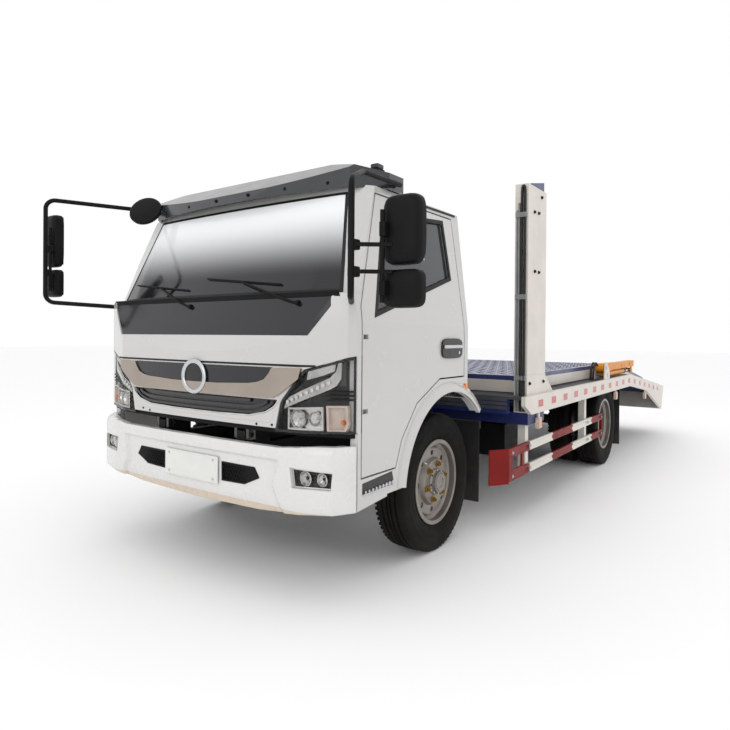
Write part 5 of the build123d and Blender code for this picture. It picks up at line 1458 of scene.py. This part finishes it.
class TRUCK_OT_post_parts(bpy.types.Operator):
    """Bolts, hoses, conduits, clamps, caps and folds of the lift posts"""

    bl_idname = "truck.post_parts"
    bl_label = "Post parts"

    def execute(self, context):
        front, back, face = FRONT_AXLE + 0.861, FRONT_AXLE + 0.861 + 0.386, 1.204
        for name, side in SIDES:
            bolt = Shape().rod((0, 0, 0), (0.004, 0, 0), 0.013, 18).rod((0.003, 0, 0), (0.012, 0, 0),
                                                                        0.009, 6)
            places = [((side * face, FRONT_AXLE + y, z), (0.0, 0.0, 0.0 if side > 0 else math.pi))
                      for y, z in ((1.136, 2.386), (0.983, 2.252), (1.073, 2.257), (0.994, 1.818),
                                   (1.080, 1.818), (0.905, 1.000), (1.200, 1.000))]
            copies("post_bolts_" + name, bolt, places, "frame_steel", "chassis")
            # columns: distance in from the outer face, radius, top, finish
            for index, (setback, radius, high, material) in enumerate((
                    (0.020, 0.0095, 2.395, "hose_rubber"), (0.044, 0.0095, 2.395, "hose_rubber"),
                    (0.064, 0.0075, 2.300, "grey_conduit"), (0.080, 0.0060, 2.250, "grey_conduit"))):
                x, y = side * (face - setback), front - radius - 0.003
                points = [(x, y, 0.800), (x, y, 0.860), (x, y - 0.006, 1.20), (x, y, 1.60),
                          (x, y - 0.004, 2.0), (x, y, high)]
                if index < 2:
                    middle_x = side * (face - 0.032)
                    points += [(middle_x + (x - middle_x) * 0.6, y, high + 0.022),
                               (middle_x, y, high + 0.030)]
                tube("post_line_%s_%d" % (name, index), points, radius, material, "chassis")
            clamps = Shape()
            for z in (1.041, 1.624, 2.214):
                clamps.box((side * 1.116, front - 0.024, z - 0.018), (side * 1.196, front + 0.001, z + 0.018))
                clamps.rod((side * 1.156, front - 0.023, z), (side * 1.156, front - 0.029, z), 0.007, 6)
            clamps.done("post_clamps_" + name, "grey_conduit", "chassis", bevel=0.004)
            caps = Shape().box((side * 1.104, front - 0.001, 2.4265), (side * 1.2052, back, 2.4404))
            caps.done("post_cap_" + name, "cream_paint", "chassis", bevel=0.004)
            fold = Shape().prism([(front - 0.001, 1.062), (back, 1.050), (back, 1.056),
                                  (front - 0.001, 1.068)], "X", side * 1.2035, side * 1.2056)
            fold.done("post_fold_" + name, "cream_paint", "chassis")
        return {"FINISHED"}


class TRUCK_OT_guard_parts(bpy.types.Operator):
    """Side guards in red and pale bands"""

    bl_idname = "truck.guard_parts"
    bl_label = "Side guards"

    def execute(self, context):
        # columns: start and end behind the front axle, finish
        bands = ((0.579, 0.985, "red_paint"), (0.985, 1.510, "guard_cream"), (1.510, 2.056, "red_paint"),
                 (2.056, 2.677, "guard_cream"), (2.677, 3.065, "red_paint"))
        for name, side in SIDES:
            pieces = {"red_paint": Shape(), "guard_cream": Shape()}
            # columns: x, height from the bar's middle
            profile = ((1.162, -0.033), (1.182, -0.033), (1.186, -0.028), (1.186, -0.016), (1.178, -0.010),
                       (1.178, 0.010), (1.186, 0.016), (1.186, 0.028), (1.182, 0.033), (1.162, 0.033))
            for start, end, material in bands:
                for z in (0.537, 0.375):
                    pieces[material].prism([(side * x, z + up) for x, up in profile], "Y", FRONT_AXLE + start,
                                           FRONT_AXLE + end)
            plate = pieces["red_paint"]
            x0, x1, y0, y1 = side * 1.172, side * 1.186, FRONT_AXLE + 0.579, FRONT_AXLE + 0.860
            for low, high in (((y0, 0.342), (y1, 0.420)), ((y0, 0.508), (y1, 0.570)),
                              ((y0, 0.41), (y0 + 0.070, 0.52)), ((y1 - 0.04, 0.41), (y1, 0.52))):
                plate.box((x0, low[0], low[1]), (x1 + side * 0.0005, high[0], high[1]))
            plate.prism([(x1, y0), (side * 1.100, y0 - 0.129), (side * 1.090, y0 - 0.124),
                         (side * 1.172, y0 + 0.006)],
                        "Z", 0.331, 0.572)
            plate.box((side * 1.162, FRONT_AXLE + 3.045, 0.342), (side * 1.186, FRONT_AXLE + 3.065, 0.570))
            hangers = pieces["guard_cream"]
            for y, high in ((0.980, 0.700), (2.530, 0.892)):
                hangers.box((side * 1.102, FRONT_AXLE + y - 0.030, 0.342),
                            (side * 1.162, FRONT_AXLE + y + 0.030, high))
            for material, shape in pieces.items():
                piece = shape.done("guard_%s_%s" % (material.split("_")[-1], name), material, "chassis",
                                   bevel=0.004)
                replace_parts(piece, "side_guards")
            bolt = Shape().rod((0, 0, 0), (0.003, 0, 0), 0.012, 16).rod((0.002, 0, 0), (0.009, 0, 0),
                                                                        0.008, 6)
            places = [((side * 1.186, FRONT_AXLE + y, z), (0.0, 0.0, 0.0 if side > 0 else math.pi))
                      for y in (0.640, 0.968, 0.992, 2.518, 2.542, 3.020) for z in (0.375, 0.537)]
            copies("guard_bolts_" + name, bolt, places, "bright_steel", "chassis")
        return {"FINISHED"}


class TRUCK_OT_arm_parts(bpy.types.Operator):
    """Pin caps, plates, hoses and cylinder rings of the swing arms"""

    bl_idname = "truck.arm_parts"
    bl_label = "Swing arm parts"

    def execute(self, context):
        pivot_y, pivot_z, x = FRONT_AXLE + 3.060, 1.032, 1.165
        for name, side in SIDES:
            caps = Shape()
            for y, z in ((pivot_y, pivot_z), (pivot_y + 0.060, pivot_z - 0.073)):
                for shift in (0.0585, -0.0585):
                    start = side * x + shift
                    caps.rod((start, y, z), (start + math.copysign(0.006, shift), y, z), 0.020, 24, 0.017)
            caps.done("arm_pin_caps_" + name, "bright_steel", "chassis", bevel=0.001)
            plates = Shape()
            for y in (0.36, 0.80, 1.20):
                for shift in (-1, 1):
                    edge = side * x + shift * 0.033
                    plates.box((edge, pivot_y + y - 0.03, pivot_z - 0.020),
                               (edge + shift * 0.004, pivot_y + y + 0.03, pivot_z + 0.020))
            plates.done("arm_plates_" + name, "orange_paint", "arm_" + name, bevel=0.002)
            for index, shift in enumerate((-0.020, 0.004)):
                hose_x = side * (x + shift - 0.030)
                route = [(hose_x, pivot_y - 0.175, 0.905), (hose_x, pivot_y - 0.170, 0.985),
                         (hose_x, pivot_y - 0.130, 1.070), (hose_x, pivot_y - 0.060, 1.088),
                         (hose_x + side * 0.004, pivot_y - 0.034, 1.050)]
                tube("arm_hose_%s_%d" % (name, index), route, 0.0095, "hose_rubber", "chassis")
            gland = Shape()
            y = pivot_y + 0.060 + 0.020
            z = pivot_z - 0.073
            for start, end, radius in ((0.0, 0.030, 0.0300), (0.900, 0.930, 0.0300), (0.880, 0.900, 0.0290)):
                gland.rod((side * x, y + start, z), (side * x, y + end, z), radius, 32)
            gland.rod((side * x, y + 0.06, z + 0.02), (side * x, y + 0.06, z + 0.040), 0.008, 12)
            gland.rod((side * x, y + 0.86, z + 0.02), (side * x, y + 0.86, z + 0.040), 0.008, 12)
            gland.done("cylinder_rings_" + name, "frame_steel", "tube_" + name, bevel=0.0015)
        return {"FINISHED"}


class TRUCK_OT_seats(bpy.types.Operator):
    """Seats with swollen cushions, sewn channels and shells"""

    bl_idname = "truck.seats"
    bl_label = "Seats"

    def execute(self, context):
        centre = CAB_HALF - 0.390
        cushion = swollen("cushion", (0.440, 0.390, 0.085), 0.022)
        self.channels(cushion, "Y", (-0.10, 0.0, 0.10), 0.007)
        rest = swollen("rest", (0.430, 0.085, 0.560), 0.022)
        self.channels(rest, "Z", (-0.17, -0.06, 0.05, 0.16), 0.007)
        head = swollen("head", (0.260, 0.080, 0.130), 0.016)
        lean = Matrix.Rotation(math.radians(-6.5), 4, "X")
        for name, side in SIDES:
            x = side * centre
            places = (("cushion", cushion, Matrix.Translation((x, FRONT_AXLE - 0.215, 1.098))),
                      ("rest", rest, Matrix.Translation((x, FRONT_AXLE + 0.052, 1.430)) @ lean),
                      ("head", head, Matrix.Translation((x, FRONT_AXLE + 0.098, 1.780)) @ lean))
            for part, source, place in places:
                data = source.copy()
                data.transform(place)
                pad = place_mesh("seat_%s_%s" % (part, name), data, "seat_cloth", "cab", angle=60.0)
                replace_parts(pad, "seats")
            shell = Shape()
            shell.prism([(FRONT_AXLE - 0.425, 1.020), (FRONT_AXLE - 0.425, 1.052),
                         (FRONT_AXLE + 0.020, 1.052), (FRONT_AXLE + 0.092, 1.845),
                         (FRONT_AXLE + 0.150, 1.845), (FRONT_AXLE + 0.105, 1.020)],
                        "X", x - 0.170, x + 0.170)
            shell.done("seat_shell_" + name, "seat_side", "cab", bevel=0.012, segments=3)
            rods = Shape()
            for shift in (-0.06, 0.06):
                rods.rod((x + shift, FRONT_AXLE + 0.080, 1.68), (x + shift, FRONT_AXLE + 0.096, 1.78),
                         0.006, 12)
            rods.done("seat_rods_" + name, "bright_steel", "cab")
        for data in (cushion, rest, head):
            bpy.data.meshes.remove(data)
        return {"FINISHED"}

    def channels(self, data, axis, levels, depth):
        """Presses sewn channels across a pad."""
        index = "XYZ".index(axis)
        for vertex in data.vertices:
            place = vertex.co[index]
            pull = depth * sum(math.exp(-((place - level) / 0.008) ** 2) for level in levels)
            thin = 2 if axis == "Y" else 1
            vertex.co[thin] -= math.copysign(min(pull, abs(vertex.co[thin])), vertex.co[thin])


def swollen(name, size, cap):
    """A pad about the origin, swollen from a slightly smaller block by a cloth simulation."""
    shape = Shape().box([-v / 2 + 0.012 for v in size], [v / 2 - 0.012 for v in size])
    bmesh.ops.bevel(shape.mesh, geom=shape.mesh.edges[:], offset=0.024, segments=4, affect="EDGES",
                    profile=0.5)
    piece = item_of(shape, name)
    remesh = piece.modifiers.new("Remesh", "REMESH")
    remesh.mode = "VOXEL"
    remesh.voxel_size = 0.006
    data = evaluated_mesh(piece)
    piece.modifiers.clear()
    piece.data = data
    before = [vertex.co.copy() for vertex in data.vertices]
    cloth = piece.modifiers.new("Cloth", "CLOTH")
    cloth.settings.use_pressure = True
    cloth.settings.uniform_pressure_force = 4.0
    cloth.settings.effector_weights.gravity = 0.0
    cloth.point_cache.frame_end = 20
    for step in range(1, 21):
        bpy.context.scene.frame_set(step)
    data = evaluated_mesh(piece)
    piece.modifiers.clear()
    piece.data = data
    for vertex, start in zip(data.vertices, before):
        move = vertex.co - start
        if move.length > cap:
            vertex.co = start + move * (cap / move.length)
    bpy.context.scene.frame_set(1)
    for vertex in data.vertices:
        vertex.co = Vector([min(max(v, -limit / 2), limit / 2) for v, limit in zip(vertex.co, size)])
    finer = piece.modifiers.new("Finer", "SUBSURF")
    finer.levels = 1
    data = evaluated_mesh(piece)
    bpy.data.objects.remove(piece)
    return data


def evaluated_mesh(piece):
    """A plain mesh of a piece with its modifiers run."""
    graph = bpy.context.evaluated_depsgraph_get()
    return bpy.data.meshes.new_from_object(piece.evaluated_get(graph))


class TRUCK_OT_rear_parts(bpy.types.Operator):
    """Flap ribs and the marker lamps' lenses"""

    bl_idname = "truck.rear_parts"
    bl_label = "Rear parts"

    def execute(self, context):
        self.markers()
        for name, side in SIDES:
            ribs = Shape()
            for i in range(9):
                x = side * 0.900 - 0.220 + 0.055 * i
                ribs.box((x - 0.004, FRONT_AXLE + 3.922, 0.20), (x + 0.004, FRONT_AXLE + 3.926, 0.72))
            ribs.box((side * 0.900 - 0.262, FRONT_AXLE + 3.915, 0.735),
                     (side * 0.900 + 0.262, FRONT_AXLE + 3.925, 0.775))
            ribs.done("flap_ribs_" + name, "flap_rubber", "chassis", bevel=0.002)
            ribs = Shape()
            for i in range(5):
                x = side * 0.835 - 0.100 + 0.050 * i
                ribs.box((x - 0.004, FRONT_AXLE + 0.572, 0.22), (x + 0.004, FRONT_AXLE + 0.576, 0.66))
            ribs.done("front_flap_ribs_" + name, "flap_rubber", "chassis", bevel=0.002)
        return {"FINISHED"}

    def markers(self):
        """A salmon lens on the outer face of each marker lamp."""
        lenses = Shape()
        # columns: distance behind the front axle, height
        for station, z in ((1.070, 0.700), (3.480, 0.720), (5.050, 0.600)):
            for side in (1, -1):
                y = FRONT_AXLE + station
                lenses.box((side * 1.2285, y - 0.031, z - 0.036), (side * 1.2335, y + 0.031, z + 0.036))
        lenses.done("marker_lenses", "marker_lens", "chassis", bevel=0.003)


OPERATOR_CLASSES = (
    TRUCK_OT_stage, TRUCK_OT_finishes, TRUCK_OT_tyres, TRUCK_OT_wheel_parts, TRUCK_OT_headlamps,
    TRUCK_OT_front, TRUCK_OT_bumper_parts, TRUCK_OT_windscreen_parts, TRUCK_OT_cab_side,
    TRUCK_OT_rail_parts, TRUCK_OT_deck_parts, TRUCK_OT_post_parts, TRUCK_OT_guard_parts, TRUCK_OT_arm_parts,
    TRUCK_OT_seats, TRUCK_OT_rear_parts,
)
CLASSES = (TruckColours, TruckSizes) + OPERATOR_CLASSES
OPERATORS = [item.bl_idname.split(".")[1] for item in OPERATOR_CLASSES]


class TRUCK_PT_panel(bpy.types.Panel):
    """The truck's settings and its operators, in order"""

    bl_label = "Recovery truck"
    bl_idname = "TRUCK_PT_panel"
    bl_space_type = "VIEW_3D"
    bl_region_type = "UI"
    bl_category = "Truck"

    def draw(self, context):
        layout = self.layout
        for group in (context.scene.truck_colours, context.scene.truck_sizes):
            for key in group.bl_rna.properties.keys():
                if key not in {"rna_type", "name"}:
                    layout.prop(group, key)
        for name in OPERATORS:
            layout.operator("truck." + name)


def register():
    for item in CLASSES + (TRUCK_PT_panel,):
        bpy.utils.register_class(item)
    bpy.types.Scene.truck_colours = PointerProperty(type=TruckColours)
    bpy.types.Scene.truck_sizes = PointerProperty(type=TruckSizes)


def unregister():
    del bpy.types.Scene.truck_colours
    del bpy.types.Scene.truck_sizes
    for item in reversed(CLASSES + (TRUCK_PT_panel,)):
        bpy.utils.unregister_class(item)


def main():
    """Builds the truck piece by piece."""
    register()
    for name in OPERATORS:
        getattr(bpy.ops.truck, name)()
    bpy.context.view_layer.update()


if __name__ == "__main__":
    main()
